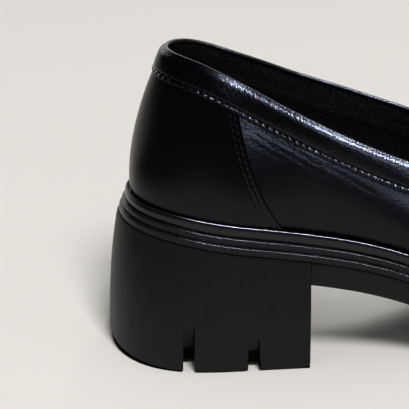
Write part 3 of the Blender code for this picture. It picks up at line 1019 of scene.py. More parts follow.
@dataclass
class Sole:
    """Outsole, heel block, ribbed midsole and sock-lined insole."""

    last: Last
    seat_gap: float = 0.3
    wall: float = 1.6
    breast: float = 70
    heel_top_reach: float = 5.9
    heel_floor_reach: float = 9.2
    heel_flare_power: float = 2.4
    heel_edge: float = 0.6
    edge_lift: float = 0.35
    back_lift: float = 3.0
    back_bevel: float = 11
    corner_fill: float = 3.0
    breast_lift: float = 1.6
    breast_round: float = 3.5
    top_edge: float = 0.45
    outsole_reach: float = 5.4
    outsole_edge: float = 1.0
    groove_width: float = 4.2
    groove_depth: float = 6.8
    channel_depth: float = 2.2
    pocket_depth: float = 3.6
    groove_flare: float = 1.1
    notch_height: float = 13.8
    notch_inset: float = 3.5
    heel_grooves: tuple[float, ...] = (26.2, 49.5)
    tread_start: float = 150
    tread_pitch: float = 18.5
    tread_grooves: int = 6
    # Faces that point further down than this take the darker rubber, which paints the shade under the sole
    shade_facing: float = 0.48
    tray_floor: float = 8.0
    insole_thickness: float = 2.5
    insole_edge: float = 0.9
    overrun: float = 4.0
    columns: int = 181
    side_rows: int = 9
    edge_rows: int = 6
    midsole_edge: tuple[Corner, ...] = (
        Corner(4.2, 0.0, 0.0),
        Corner(5.0, 0.05, 0.2),
        Corner(5.0, 2.6, 0.28),
        Corner(3.5, 2.85, 0.12),
        Corner(3.95, 3.15, 0.15),
        Corner(3.95, 5.4, 0.28),
        Corner(2.0, 5.65, 0.15),
        Corner(2.8, 6.15, 0.35),
        Corner(2.85, 8.7, 0.9),
        Corner(2.4, 9.95, 0.55),
        Corner(1.85, 9.7, 0.3),
        Corner(1.3, 8.0, 0.0),
    )
    bead_base: float = 5.7
    heel_spreads: tuple[float, ...] = (0, 0.5, 1)
    heel_climb: tuple[float, float] = (0.12, 0.95)
    outsole_spreads: tuple[float, ...] = (0, 0.35, 0.7)
    outsole_climb: tuple[float, ...] = (0.35, 0.65)
    top_spreads: tuple[float, ...] = (0.5, 0)

    @property
    def round_walk(self) -> np.ndarray:
        """Signed shares right round the shoe."""
        return np.linspace(1, -1, 2 * self.columns - 1)

    def quarter(self, size: float) -> list[tuple[float, float]]:
        """Steps round a quarter circle of a size, as distances left to its end and from its start."""
        turns = np.linspace(0, QUARTER_TURN, self.edge_rows)
        return [(size * (1 - math.sin(turn)), size * (1 - math.cos(turn))) for turn in turns]

    def seat(self, x: np.ndarray) -> np.ndarray:
        """Top of the heel block and the outsole, just under the midsole."""
        return self.last.sole_top(x) - self.seat_gap

    def heel_lift(self, x: np.ndarray) -> np.ndarray:
        """Height of the heel's lower edge over the floor, more at its back and its breast."""
        ahead = self.breast_lift * np.clip(1 - (self.breast - x) / self.breast_round, 0, 1) ** 2
        return self.edge_lift + self.back_lift * np.exp(-np.maximum(x, 0) / self.back_bevel) + ahead

    def midsole(self) -> bpy.types.Object:
        """Makes the tray with the bead and ribs of its edge.

        Returns:
            The midsole.
        """
        last = self.last
        edge = rounded(self.midsole_edge)
        profile = [(*edge[0], 0.0), *((reach, height, 1.0) for reach, height in edge), (*edge[-1], 0.0)]
        rows = [SoleRow(spread, r, lambda x, h=h: last.sole_top(x) + h) for r, h, spread in profile]
        midsole = last.loft("midsole", self.round_walk, rows)
        midsole.data.materials.append(RIB_RUBBER.material())
        midsole.data.materials.append(BEAD_RUBBER.material())
        for face in midsole.data.polygons:
            x, _, z = np.array(face.center) / MM - last.shift
            face.material_index = int(z - float(last.sole_top(np.array(x))) > self.bead_base)
        smooth(midsole, EDGE_ANGLE)
        return midsole

    def heel_block(self) -> bpy.types.Object:
        """Makes the heel, flared towards the floor, with two grooves that climb its sides as notches.

        Returns:
            The heel block.
        """
        last = self.last
        end = last.foot_line.share(self.breast + self.overrun)
        signed = np.linspace(end, -end, self.columns)
        corner = np.pi * np.clip(np.abs(signed) / last.foot_line.back_share, 0, 1)
        floor_reach = (self.heel_floor_reach + self.corner_fill * np.sin(corner) ** 2)[:, None]
        inner_reach = floor_reach - self.heel_edge
        rows = [SoleRow(spread, inner_reach, np.zeros_like) for spread in self.heel_spreads]
        rows.append(SoleRow(1, inner_reach, lambda x: self.heel_lift(x) / 2))
        for inset, rise in self.quarter(self.heel_edge):
            rows.append(SoleRow(1, floor_reach - inset, lambda x, rise=rise: self.heel_lift(x) + rise))
        for share in np.linspace(*self.heel_climb, self.side_rows):
            reach = floor_reach - (floor_reach - self.heel_top_reach) * share**self.heel_flare_power
            rows.append(SoleRow(1, reach, lambda x, share=share: self.seat(x) * share))
        for drop, inset in self.quarter(self.top_edge):
            rows.append(SoleRow(1, self.heel_top_reach - inset, lambda x, drop=drop: self.seat(x) - drop))
        top_reach = self.heel_top_reach - self.top_edge
        rows += [SoleRow(spread, top_reach, self.seat) for spread in self.top_spreads]
        heel = last.loft("heel_block", signed, rows)
        self.trim(heel, self.breast, 1)
        for station in self.heel_grooves:
            self.cut_groove(heel, station, self.heel_floor_reach, self.notch_height, self.channel_depth)
        self.rubber(heel, self.heel_grooves, self.heel_lift)
        return heel

    def outsole(self) -> bpy.types.Object:
        """Makes the outsole from the heel's breast to the toe, with its arch, toe spring and lugs.

        Returns:
            The outsole.
        """
        last = self.last
        start = last.foot_line.share(self.breast - self.overrun)
        reach = self.outsole_reach
        inner_reach = reach - self.outsole_edge
        rows = [SoleRow(spread, inner_reach, last.sole_bottom) for spread in self.outsole_spreads]
        for inset, rise in self.quarter(self.outsole_edge):
            rows.append(SoleRow(1, reach - inset, lambda x, rise=rise: last.sole_bottom(x) + rise))
        for share in self.outsole_climb:
            rows.append(
                SoleRow(1, reach, lambda x, s=share: last.sole_bottom(x) * (1 - s) + self.seat(x) * s)
            )
        for drop, inset in self.quarter(self.top_edge):
            rows.append(SoleRow(1, reach - inset, lambda x, drop=drop: self.seat(x) - drop))
        rows += [SoleRow(spread, reach - self.top_edge, self.seat) for spread in self.top_spreads]
        ahead = np.linspace(-start, -1, self.columns)
        outsole = last.loft("outsole", np.concatenate([ahead, -ahead[-2::-1]]), rows)
        self.trim(outsole, self.breast + self.seat_gap, -1)
        grooves = [self.tread_start + i * self.tread_pitch for i in range(self.tread_grooves)]
        for station in grooves:
            self.cut_groove(outsole, station, reach, self.groove_depth + self.notch_inset, self.groove_depth)
        self.rubber(outsole, grooves, last.sole_bottom)
        return outsole

    def rubber(
        self,
        piece: bpy.types.Object,
        grooves: Sequence[float],
        edge: Callable[[np.ndarray], np.ndarray],
    ) -> None:
        """Gives a piece its moulded rubber, with a darker colour painted underneath and in its grooves as
        shade.

        Args:
            piece: Heel block or outsole.
            grooves: Stations of its grooves.
            edge: Height of its lower edge at stations.
        """
        piece.data.materials.append(SOLE_RUBBER.material())
        piece.data.materials.append(SHADE_TREAD_RUBBER.material())
        reach = self.groove_width / 2 + self.seat_gap
        for face in piece.data.polygons:
            x, _, z = np.array(face.center) / MM - self.last.shift
            rise = z - float(edge(np.array(x)))
            grooved = any(abs(x - station) < reach for station in grooves) and rise < self.groove_depth
            # Faces that point down, lie below the lower edge or line a groove get the darker rubber: painted
            # shade under the heel's lifted edge, under the sole and in the grooves
            face.material_index = int(face.normal.z < -self.shade_facing or rise < 0 or grooved)
        smooth(piece, TREAD_ANGLE)

    def insole(self) -> bpy.types.Object:
        """Makes the sock-lined footbed, soft at its edge.

        Returns:
            The insole.
        """
        last = self.last
        base = self.tray_floor + self.seat_gap
        reach = -self.wall - 2 * self.seat_gap
        crown = base + self.insole_thickness
        rows = [SoleRow(spread, reach, lambda x: last.sole_top(x) + base) for spread in (0, 1)]
        for drop, inset in self.quarter(self.insole_edge):
            rows.append(SoleRow(1, reach - inset, lambda x, drop=drop: last.sole_top(x) + crown - drop))
        for spread in self.top_spreads:
            rows.append(SoleRow(spread, reach - self.insole_edge, lambda x: last.sole_top(x) + crown))
        insole = last.loft("insole", self.round_walk, rows)
        insole.data.materials.append(SOCK_LEATHER.material())
        smooth(insole, EDGE_ANGLE)
        return insole

    def trim(self, piece: bpy.types.Object, station: float, toward: int) -> None:
        """Cuts a shell off flat at a station and fills the cut.

        Args:
            piece: The shell.
            station: Where it is cut.
            toward: 1 to take away what is ahead of the cut, -1 for what is behind it.
        """
        plane = self.last.to_model(np.array([station, 0, 0]))
        bpy.context.view_layer.objects.active = piece
        bpy.ops.object.mode_set(mode="EDIT")
        bpy.ops.mesh.select_all(action="SELECT")
        bpy.ops.mesh.bisect(plane_co=plane, plane_no=(toward, 0, 0), use_fill=True, clear_outer=True)
        bpy.ops.object.mode_set(mode="OBJECT")

    def cut_groove(
        self,
        piece: bpy.types.Object,
        station: float,
        reach: float,
        notch_height: float,
        middle_depth: float,
    ) -> None:
        """Cuts a tread groove across a piece, whose ends climb its sides as sloping notches.

        Args:
            piece: Heel block or outsole.
            station: Middle of the groove.
            reach: How far the piece stands past the foot line.
            notch_height: How high the groove climbs the piece's sides.
            middle_depth: Depth of the groove between the pockets at its ends.
        """
        last = self.last
        share = np.full(2, last.foot_line.share(station))
        low, high = last.foot_line.offset(np.array([-1.0, 1.0]), share, reach)[:, 1]
        floor = float(last.sole_bottom(np.array(station))) if station > self.breast else 0.0
        climb = (notch_height - self.groove_depth) / self.notch_inset
        beyond, half = self.overrun, self.groove_width / 2
        ceiling = floor + self.groove_depth
        top, below = floor + notch_height + climb * beyond, floor - beyond
        ends = [(beyond, below), (beyond, top), (-self.notch_inset, ceiling)]
        if middle_depth < self.groove_depth:
            ends += [(-self.pocket_depth, ceiling), (-self.pocket_depth, floor + middle_depth)]
        right = [(station - half, high + out, z) for out, z in ends]
        left = [(station - half, low - out, z) for out, z in ends]
        self.cut(piece, right + left[::-1], (self.groove_width, 0, 0))
        flare = self.groove_flare
        left = [(-half - out, floor + rise) for out, rise in self.quarter(flare)]
        right = [(-x, z) for x, z in reversed(left)]
        mouth = [(-half - flare, below), *left, *right, (half + flare, below)]
        self.cut(piece, [(station + x, high + beyond, z) for x, z in mouth], (0, low - high - 2 * beyond, 0))

    def cut(
        self,
        piece: bpy.types.Object,
        outline: Sequence[tuple[float, float, float]],
        sweep: tuple[float, float, float],
    ) -> None:
        """Takes a swept outline out of a piece.

        Args:
            piece: Piece to cut.
            outline: Corners of the flat outline.
            sweep: Way that the outline is swept.
        """
        bpy.ops.object.select_all(action="DESELECT")
        bpy.ops.mesh.primitive_circle_add(vertices=len(outline), fill_type="NGON")
        cutter = bpy.context.object
        cutter.data.vertices.foreach_set("co", self.last.to_model(np.array(outline)).ravel())
        cutter.data.update()
        bpy.ops.object.mode_set(mode="EDIT")
        bpy.ops.mesh.select_all(action="SELECT")
        bpy.ops.mesh.extrude_region_move(TRANSFORM_OT_translate={"value": [MM * s for s in sweep]})
        bpy.ops.mesh.select_all(action="SELECT")
        bpy.ops.mesh.normals_make_consistent(inside=False)
        bpy.ops.object.mode_set(mode="OBJECT")
        apply_modifier(piece, "BOOLEAN", operation="DIFFERENCE", solver="EXACT", object=cutter)
        bpy.data.objects.remove(cutter)


@dataclass
class Upper:
    """Leather wall with its lining, counter panel, collar band and apron."""

    last: Last
    wall_thickness: float = 1.6
    rim_wall: float = 0.5
    rim_taper: float = 6.0
    gap: float = 0.12
    panel_thickness: float = 0.9
    band_thickness: float = 1.4
    band_puff: float = 0.12
    edge_turn: float = 0.75
    band_edge: float = 0.9
    panel_edge: float = 0.25
    roll_thickness: float = 0.5
    roll_fall: float = 2.1
    lip: float = 0.8
    stitch_pitch: float = 2.6
    stitch_inset: float = 1.65
    stitch_trough: float = 0.68
    trough_width: float = 0.45
    ridge_rise: float = 0.85
    pucker: float = 0.2
    hole_depth: float = 0.45
    counter_rows: tuple[float, ...] = (1.65, 3.35)
    counter_trough: float = 0.2
    dip_back: float = 0.2
    dip_side: float = 1.2
    dip_vamp: float = 0.7
    dip_below: float = 5.0
    dip_above: float = 2.4
    dip_side_run: tuple[float, float] = (38, 52)
    dip_vamp_run: tuple[float, float] = (98, 125)
    wrinkles_top: tuple[float, float] = (-1, 0.5)
    wrinkles_foot: tuple[float, float] = (2, 18)
    wrinkles_back: tuple[float, float] = (36, 44)
    wrinkles_front: tuple[float, float] = (66, 100)
    rim_end: tuple[float, float] = (-0.01, 0.02)
    lining_share: float = 0.2575
    lining_start: float = 9.0
    lining_thickness: float = 0.45
    lining_row: float = 1.0
    lining_steps: Crowding = Crowding(0.03, 9, 45)
    lining_rows: int = 40
    counter_steps: Crowding = Crowding(0.13, 36, 44)
    counter_climbs: tuple[tuple[float, float, int], ...] = ((0.035, 0.93, 48), (0.94, 0.996, 10))
    wall_steps: tuple[int, ...] = (46, 12, 60, 50)
    rows_below: int = 56
    rows_above: int = 16
    row_crowding: float = 0.8
    band_step: float = 0.45
    apron_coarseness: float = 1.5
    throat_columns: int = 24
    seam_strip: float = 2.7
    seam_rows: int = 16
    face_rows: int = 18
    hole_sharpness: int = 3
    roll_rows: int = 8
    lip_rows: int = 5
    creases: tuple[Crease, ...] = (
        Crease(47, 1.5, 57, 3.0, 0.12, 0.9),
        Crease(48, 4.2, 55, 5.4, 0.10, 0.8),
        Crease(56, 5.6, 66, 6.6, 0.10, 0.9),
        Crease(60, 2.6, 72, 4.2, 0.12, 1.0),
        Crease(50, 8.2, 60, 9.6, 0.09, 1.0),
        Crease(68, 6.5, 80, 8.4, 0.10, 1.1),
        Crease(76, 3.2, 92, 5.6, 0.10, 1.2),
    )

    @property
    def drop(self) -> float:
        """How far the wall stops under the rim, so that the roll over it ends at the rim."""
        return self.rim_wall / 2 + self.gap + self.roll_thickness

    def top_distance(self, signed: np.ndarray, columns: Columns) -> np.ndarray:
        """How far up the columns the wall goes."""
        left = 1 - fade(np.abs(signed), self.last.collar_share, self.last.throat_share)
        return columns.length - self.drop * left / columns.lean

    def on_rim(self, signed: np.ndarray) -> np.ndarray:
        """One for columns that end at the rim, fading to none for those that end at the ridge."""
        start, end = (self.last.throat_share + step for step in self.rim_end)
        return 1 - fade(np.abs(signed), start, end)[:, None]

    def inner_depth(self, signed: np.ndarray, below_top: np.ndarray) -> np.ndarray:
        """Thickness of the wall, skived thin under the rim."""
        skived = (1 - fade(below_top, 0, self.rim_taper)) * self.on_rim(signed)
        return self.wall_thickness - (self.wall_thickness - self.rim_wall) * skived

    def relief(self, points: np.ndarray, below_seam: np.ndarray) -> np.ndarray:
        """How far the leather stands out of the form.

        Args:
            points: Places on the form.
            below_seam: Their distance down from the collar's or apron's seam.

        Returns:
            Heights, negative where the leather dips beside the seam and along its creases.
        """
        x = points[..., 0]
        side = self.dip_back + (self.dip_side - self.dip_back) * fade(x, *self.dip_side_run)
        dip = side + (self.dip_vamp - self.dip_side) * fade(x, *self.dip_vamp_run)
        height = -dip * np.exp(-np.maximum(below_seam / self.dip_below, -below_seam / self.dip_above))
        spots = np.stack([x, below_seam], axis=-1)
        near = points[..., 1] < 0
        for crease in self.creases:
            start = np.array([crease.start_x, crease.start_below])
            along = np.array([crease.end_x, crease.end_below]) - start
            share = np.clip(((spots - start) @ along) / (along @ along), 0, 1)
            away = np.linalg.norm(spots - start - share[..., None] * along, axis=-1)
            height = height - near * crease.depth * bump(away, crease.width)
        return height

    def leather(
        self, signed: np.ndarray, distances: np.ndarray, lift: float | np.ndarray = 0
    ) -> tuple[np.ndarray, np.ndarray]:
        """Places on the leather's skin.

        Args:
            signed: Signed shares of the columns.
            distances: Distances up each column.
            lift: How far above the skin the places lie.

        Returns:
            The places, and the skin's outward directions there.
        """
        columns = self.last.columns(signed)
        points = columns.at(distances)
        normals = self.last.normals(signed, distances)
        height = self.relief(points, columns.seam[:, None] - distances) + lift
        return points + normals * height[..., None], normals

    def wall(self) -> bpy.types.Object:
        """Makes the hollow wall of vamp and quarters, lined inside, open at the collar and underneath.

        Returns:
            The wall.
        """
        last = self.last
        stops = (1, last.throat_share, last.collar_share, last.counter_share, 0)
        runs = [np.linspace(a, b, n, endpoint=False) for a, b, n in zip(stops, stops[1:], self.wall_steps)]
        half = np.concatenate(runs)
        signed = np.concatenate([half, [0], -half[::-1]])
        columns = last.columns(signed)
        seam, top = columns.seam[:, None], self.top_distance(signed, columns)[:, None]
        below = np.linspace(0, 1, self.rows_below, endpoint=False) ** self.row_crowding
        above = np.linspace(0, 1, self.rows_above)
        distances = np.concatenate([seam * below, seam + (top - seam) * above], axis=1)
        points, _ = self.leather(signed, distances)
        wall = add_sheet("upper", last.to_model(points))
        self.mark_pulled(wall, points, seam - distances)
        wall.data.materials.append(UPPER_LEATHER.material())
        wall.data.materials.append(LINING_LEATHER.material())
        depth = self.inner_depth(signed, top - distances)
        thicken(wall, depth, -1, material_offset=1, material_offset_rim=1)
        smooth(wall, LEATHER_ANGLE)
        return wall

    def mark_pulled(self, piece: bpy.types.Object, points: np.ndarray, below_seam: np.ndarray) -> None:
        """Marks where the leather is wrinkled: under the collar band, ahead of the counter's seam.

        Args:
            piece: The wall's sheet.
            points: Its places.
            below_seam: Their distance down from the seam.
        """
        x = points[..., 0]
        under = fade(below_seam, *self.wrinkles_top) * (1 - fade(below_seam, *self.wrinkles_foot))
        place = fade(x, *self.wrinkles_back) * (1 - fade(x, *self.wrinkles_front))
        marks = piece.data.attributes.new("pulled", "FLOAT", "POINT")
        marks.data.foreach_set("value", (under * place).T.ravel())

    def heel_lining(self) -> bpy.types.Object:
        """Makes the grip lining inside the heel, which ends at a seam on each side.

        Returns:
            The lining.
        """
        last = self.last
        end = self.lining_share
        half = end * (1 - self.lining_steps.shares())
        signed = np.concatenate([-half, [0], half[::-1]])
        columns = last.columns(signed)
        top = self.top_distance(signed, columns)[:, None] - self.lip
        distances = self.lining_start + (top - self.lining_start) * np.linspace(0, 1, self.lining_rows)
        depth = self.inner_depth(signed, top + self.lip - distances)
        points, _ = self.leather(signed, distances, -depth - self.gap / 2)
        inset = side_inset(points, signed, end)
        lining = add_sheet("heel_lining", last.to_model(points))
        thicken(lining, self.turned_edge(inset, self.lining_thickness, self.panel_edge))
        lining.data.materials.append(GRIP_LINING.material())
        smooth(lining, LEATHER_ANGLE)
        return lining

    def counter_panel(self) -> bpy.types.Object:
        """Makes the panel round the back of the heel, with a turned edge along its two side seams.

        Returns:
            The panel.
        """
        last = self.last
        end = last.counter_share
        half = end * (1 - self.counter_steps.shares())
        signed = np.concatenate([half, [0], -half[::-1]])
        columns = last.columns(signed)
        shares = np.concatenate([np.linspace(*climb) for climb in self.counter_climbs])
        points, _ = self.leather(signed, columns.seam[:, None] * shares, self.gap)
        inset = side_inset(points, signed, end)
        thickness = self.turned_edge(inset, self.panel_thickness, self.panel_edge)
        for row in self.counter_rows:
            thickness = thickness - self.counter_trough * bump(inset - row, self.trough_width)
        panel = add_sheet("counter_panel", last.to_model(points))
        thicken(panel, thickness)
        panel.data.materials.append(UPPER_LEATHER.material())
        smooth(panel, LEATHER_ANGLE)
        return panel

    def turned_edge(self, inset: np.ndarray, full: float, thin: float) -> np.ndarray:
        """Thickness of a panel that rounds off to a thin edge."""
        t = np.clip(inset / self.edge_turn, 0, 1)
        return thin + (full - thin) * np.sqrt(1 - (1 - t) ** 2)

    def even_walk(self, start: float, end: float, step: float) -> np.ndarray:
        """Signed shares at even steps along the seam.

        Args:
            start: Signed share to start from.
            end: Signed share to end at, below -1 where the walk goes on round the toe.
            step: Length of a step.

        Returns:
            Shares from start to end, with both.
        """
        walk = np.linspace(start, end, WALK_SAMPLES)
        run = self.seam_run(self.last.columns(past_toe(walk)))
        return np.interp(np.linspace(0, run[-1], int(run[-1] / step) + 1), run, walk)

    def seam_run(self, columns: Columns) -> np.ndarray:
        """Length walked along the seam from the first column to each."""
        points = columns.at(columns.seam[:, None])[:, 0]
        return np.concatenate([[0], np.cumsum(np.linalg.norm(np.diff(points, axis=0), axis=1))])

    def stitch_count(self, run: np.ndarray) -> int:
        """How many stitches a run along a seam takes."""
        return round(run[-1] / self.stitch_pitch)

    def collar_band(self) -> bpy.types.Object:
        """Makes the padded band round the opening, turned over its rim and into the shoe.

        Returns:
            The band.
        """
        last = self.last
        signed = self.even_walk(last.collar_share, -last.collar_share, self.band_step)
        points, thickness = self.strip(signed, np.zeros((len(signed), 1)))
        over, over_thickness = self.roll(signed)
        band = add_sheet("collar_band", last.to_model(np.concatenate([points, over], axis=1)))
        thicken(band, np.concatenate([thickness, over_thickness], axis=1))
        band.data.materials.append(BAND_LEATHER.material())
        smooth(band, LEATHER_ANGLE)
        return band

    def apron(self) -> bpy.types.Object:
        """Makes the overlay of the vamp, which carries the band's edge round the toe and over the throat.

        Returns:
            The apron.
        """
        last = self.last
        step = self.apron_coarseness * self.band_step
        walk = self.even_walk(-last.collar_share, last.collar_share - 2, step)
        throat = np.array([-last.throat_share, last.throat_share - 2])
        signed = past_toe(np.sort(np.concatenate([walk, throat]))[::-1])
        flatness = fade(np.abs(signed), last.collar_share, last.throat_share)[:, None]
        points, thickness = self.strip(signed, flatness)
        apron = add_sheet("apron", last.to_model(points))
        thicken(apron, thickness)
        ahead = np.linspace(last.collar_share, last.throat_share, self.throat_columns)
        signed = np.concatenate([-ahead, ahead[::-1]])
        over, over_thickness = self.roll(signed)
        middle = [len(ahead) - 1, len(ahead)]
        over[middle] = over[middle].mean(0)
        turned = add_sheet("throat_roll", last.to_model(over))
        thicken(turned, over_thickness)
        apron.select_set(True)
        bpy.context.view_layer.objects.active = apron
        bpy.ops.object.join()
        apron.data.materials.append(UPPER_LEATHER.material())
        smooth(apron, LEATHER_ANGLE)
        return apron

    def strip(self, signed: np.ndarray, flatness: np.ndarray) -> tuple[np.ndarray, np.ndarray]:
        """Rows from the seam up to the rim or the ridge.

        Args:
            signed: Signed shares of the columns.
            flatness: How far the padding is left out at each column, from 0 to 1.

        Returns:
            Places of the rows and the leather's thickness there.
        """
        last = self.last
        columns = last.columns(signed)
        width = (self.top_distance(signed, columns) - columns.seam)[:, None]
        fine = np.linspace(0, self.seam_strip, self.seam_rows) / last.collar_width
        shares = np.concatenate([fine, np.linspace(fine[-1], 1, self.face_rows)[1:]])
        blend = fade(shares, fine[-1], 1)
        rise = np.minimum(shares * (last.collar_width * (1 - blend) + width * blend), width)
        distances = columns.seam[:, None] + rise
        points, _ = self.leather(signed, distances, self.gap)
        upright = columns.lean[:, None] ** (1 - flatness)
        height, full = rise * upright, width * upright
        phase = 2 * math.pi * self.stitch_phase(columns)[:, None]
        bulge = -self.pucker * np.cos(phase) * bump(height - self.ridge_rise, self.trough_width)
        holes = self.hole_depth * np.maximum(np.cos(phase), 0) ** self.hole_sharpness
        trough = (self.stitch_trough + holes) * bump(height - self.stitch_inset, self.trough_width)
        t = np.clip((height - self.stitch_inset) / (full - self.stitch_inset), 0, 1)
        puff = self.band_puff * np.sin(np.pi * t) * (1 - flatness)
        fall = np.clip(1 - (full - height) / self.roll_fall, 0, 1) ** 2 * self.on_rim(signed)
        thin = (self.band_thickness - self.roll_thickness) * fall
        thickness = self.turned_edge(height, self.band_thickness, self.band_edge)
        return points, thickness + bulge - trough + puff - thin

    def stitch_phase(self, columns: Columns) -> np.ndarray:
        """Stitches walked along the seam up to each column."""
        run = self.seam_run(columns)
        return run / run[-1] * self.stitch_count(run)

    def roll(self, signed: np.ndarray) -> tuple[np.ndarray, np.ndarray]:
        """Rows of leather that turn over the rim and end in a lip inside the shoe.

        Args:
            signed: Signed shares of columns that end at the rim.

        Returns:
            Places and thicknesses of the rows.
        """
        last = self.last
        side = np.where(signed < 0, -1.0, 1.0)
        share = np.minimum(np.abs(signed), last.throat_share - 2 * SHARE_STEP)
        columns = last.columns(side * share)
        top = self.top_distance(signed, columns)[:, None]
        rim = columns.at(top)[:, 0]
        normal = last.normals(side * share, top)[:, 0]
        along = unit(last.top(side, share + SHARE_STEP) - last.top(side, np.maximum(share - SHARE_STEP, 0)))
        along = np.where((share < SHARE_STEP)[:, None], np.array([0.0, 1.0, 0.0]), along)
        climb = rim - columns.at(top - CLIMB_STEP)[:, 0]
        upward = unit(np.cross(normal, along))
        upward = upward * np.sign((upward * climb).sum(1, keepdims=True))
        radius = self.rim_wall / 2 + self.gap
        core = rim - normal * self.rim_wall / 2
        turns = np.linspace(0, math.pi, self.roll_rows)
        rows = [core + radius * (normal * math.cos(turn) + upward * math.sin(turn)) for turn in turns]
        depths = np.linspace(0, self.lip, self.lip_rows)[1:]
        rows += [core - radius * normal - upward * depth for depth in depths]
        left = np.concatenate([np.full(self.roll_rows, self.lip), self.lip - depths])
        thick = self.turned_edge(left, self.roll_thickness, self.panel_edge)
        return np.stack(rows, axis=1), np.tile(thick, (len(signed), 1))


@dataclass
class Stitching:
    """Rows of black thread sewn through the upper."""

    last: Last
    upper: Upper
    length: float = 2.05
    width: float = 0.44
    height: float = 0.46
    sag: float = 0.36
    slant: float = 26
    sinking: float = 1.0
    segments: int = 8
    rings: int = 7
    row_samples: int = 400
    counter_span: tuple[float, float] = (0.06, 0.985)
    lining_margins: tuple[float, float] = (0.004, 0.01)

    def stitch(self) -> tuple[np.ndarray, list[tuple[int, ...]]]:
        """Models one stitch: a plump thread whose ends go down into their holes.

        Returns:
            Its points in millimetres, along X with Z out of the leather, and its faces.
        """
        bpy.ops.object.select_all(action="DESELECT")
        bpy.ops.mesh.primitive_uv_sphere_add(segments=self.segments, ring_count=self.rings)
        thread = bpy.context.object
        bpy.ops.object.mode_set(mode="EDIT")
        bpy.ops.mesh.select_all(action="SELECT")
        bpy.ops.transform.rotate(value=QUARTER_TURN, orient_axis="Y", center_override=(0, 0, 0))
        bpy.ops.object.mode_set(mode="OBJECT")
        points = np.array([vertex.co for vertex in thread.data.vertices])
        faces = [tuple(face.vertices) for face in thread.data.polygons]
        bpy.data.objects.remove(thread)
        points = points * np.array([self.length, self.width, self.height]) / 2
        points[:, 2] -= self.sag * (2 * points[:, 0] / self.length) ** 2
        return points, faces

    def sew(
        self, name: str, rows: Sequence[tuple[np.ndarray, np.ndarray, int]], thread: Finish
    ) -> bpy.types.Object:
        """Copies the stitch along rows and joins the copies.

        Args:
            name: Name of the piece.
            rows: For each row, evenly walked places on it, the leather's outward directions there, and its
                count of stitches.
            thread: Finish of the thread.

        Returns:
            The joined stitches.
        """
        stitch, faces = self.stitch()
        points, corners = [], []
        turn = math.radians(self.slant)
        for path, outward, count in rows:
            places = (np.arange(count) + 0.5) / count * (len(path) - 1)
            index = np.arange(len(path))
            spots, ups, aheads = (
                np.stack([np.interp(places, index, values[:, axis]) for axis in range(3)], axis=-1)
                for values in (path, outward, np.gradient(path, axis=0))
            )
            for spot, up, ahead in zip(spots, unit(ups), unit(aheads)):
                across = unit(np.cross(up, ahead))
                lay = np.cross(across, up) * math.cos(turn) + across * math.sin(turn)
                corners += [tuple(i + len(points) * len(stitch) for i in face) for face in faces]
                points.append(spot + stitch @ np.stack([lay, np.cross(up, lay), up]))
        mesh = bpy.data.meshes.new(name)
        mesh.from_pydata(self.last.to_model(np.concatenate(points)), [], corners)
        piece = bpy.data.objects.new(name, mesh)
        bpy.context.scene.collection.objects.link(piece)
        mesh.materials.append(thread.material())
        smooth(piece, THREAD_ANGLE)
        return piece

    def seam_row(self, start: float, end: float) -> tuple[np.ndarray, np.ndarray, int]:
        """Row along the band's or apron's lower edge, between two signed shares.

        Args:
            start: Signed share of its start.
            end: Signed share of its end.

        Returns:
            Places on the row, the leather's outward directions there, and its count of stitches.
        """
        upper = self.upper
        signed = past_toe(upper.even_walk(start, end, upper.band_step))
        columns = self.last.columns(signed)
        flatness = fade(np.abs(signed), self.last.collar_share, self.last.throat_share)
        distances = (columns.seam + upper.stitch_inset / columns.lean ** (1 - flatness))[:, None]
        lift = upper.gap + upper.band_thickness - self.sinking * upper.stitch_trough
        path, normals = upper.leather(signed, distances, lift)
        return path[:, 0], normals[:, 0], upper.stitch_count(upper.seam_run(columns))

    def counter_row(self, side: int, inset: float) -> tuple[np.ndarray, np.ndarray, int]:
        """Row beside the counter panel's side seam, from its foot to the band.

        Args:
            side: Side of the shoe, -1 or 1.
            inset: Distance from the seam.

        Returns:
            Places on the row, the leather's outward directions there, and its count of stitches.
        """
        last, upper = self.last, self.upper
        share = last.counter_share
        climb = np.linspace(*self.counter_span, self.row_samples)
        edge = last.columns(np.array([side * share, side * (share - SHARE_STEP)]))
        spots = edge.at(edge.seam[:, None] * climb)
        step = across_columns(spots[0] - spots[1], np.gradient(spots[0], axis=0))
        signed = side * (share - inset * SHARE_STEP / step)
        distances = (last.columns(signed).seam * climb)[:, None]
        lift = upper.gap + upper.panel_thickness - upper.counter_trough / 2
        points, normals = upper.leather(signed, distances, lift)
        walked = np.linalg.norm(np.diff(points[:, 0], axis=0), axis=1).sum()
        return points[:, 0], normals[:, 0], round(walked / upper.stitch_pitch)

    def lining_row(self, side: int) -> tuple[np.ndarray, np.ndarray, int]:
        """Row under the rim inside the shoe, from the heel lining's seam to the throat.

        Args:
            side: Side of the shoe, -1 or 1.

        Returns:
            Places on the row, the leather's outward directions there, and its count of stitches.
        """
        last, upper = self.last, self.upper
        start, end = upper.lining_share + self.lining_margins[0], last.throat_share - self.lining_margins[1]
        signed = side * np.linspace(start, end, self.row_samples)
        columns = last.columns(signed)
        distances = (upper.top_distance(signed, columns) - upper.lining_row / columns.lean)[:, None]
        depth = upper.inner_depth(signed, np.full_like(distances, upper.lining_row))
        points, normals = upper.leather(signed, distances, -depth)
        walked = np.linalg.norm(np.diff(points[:, 0], axis=0), axis=1).sum()
        return points[:, 0], -normals[:, 0], round(walked / upper.stitch_pitch)

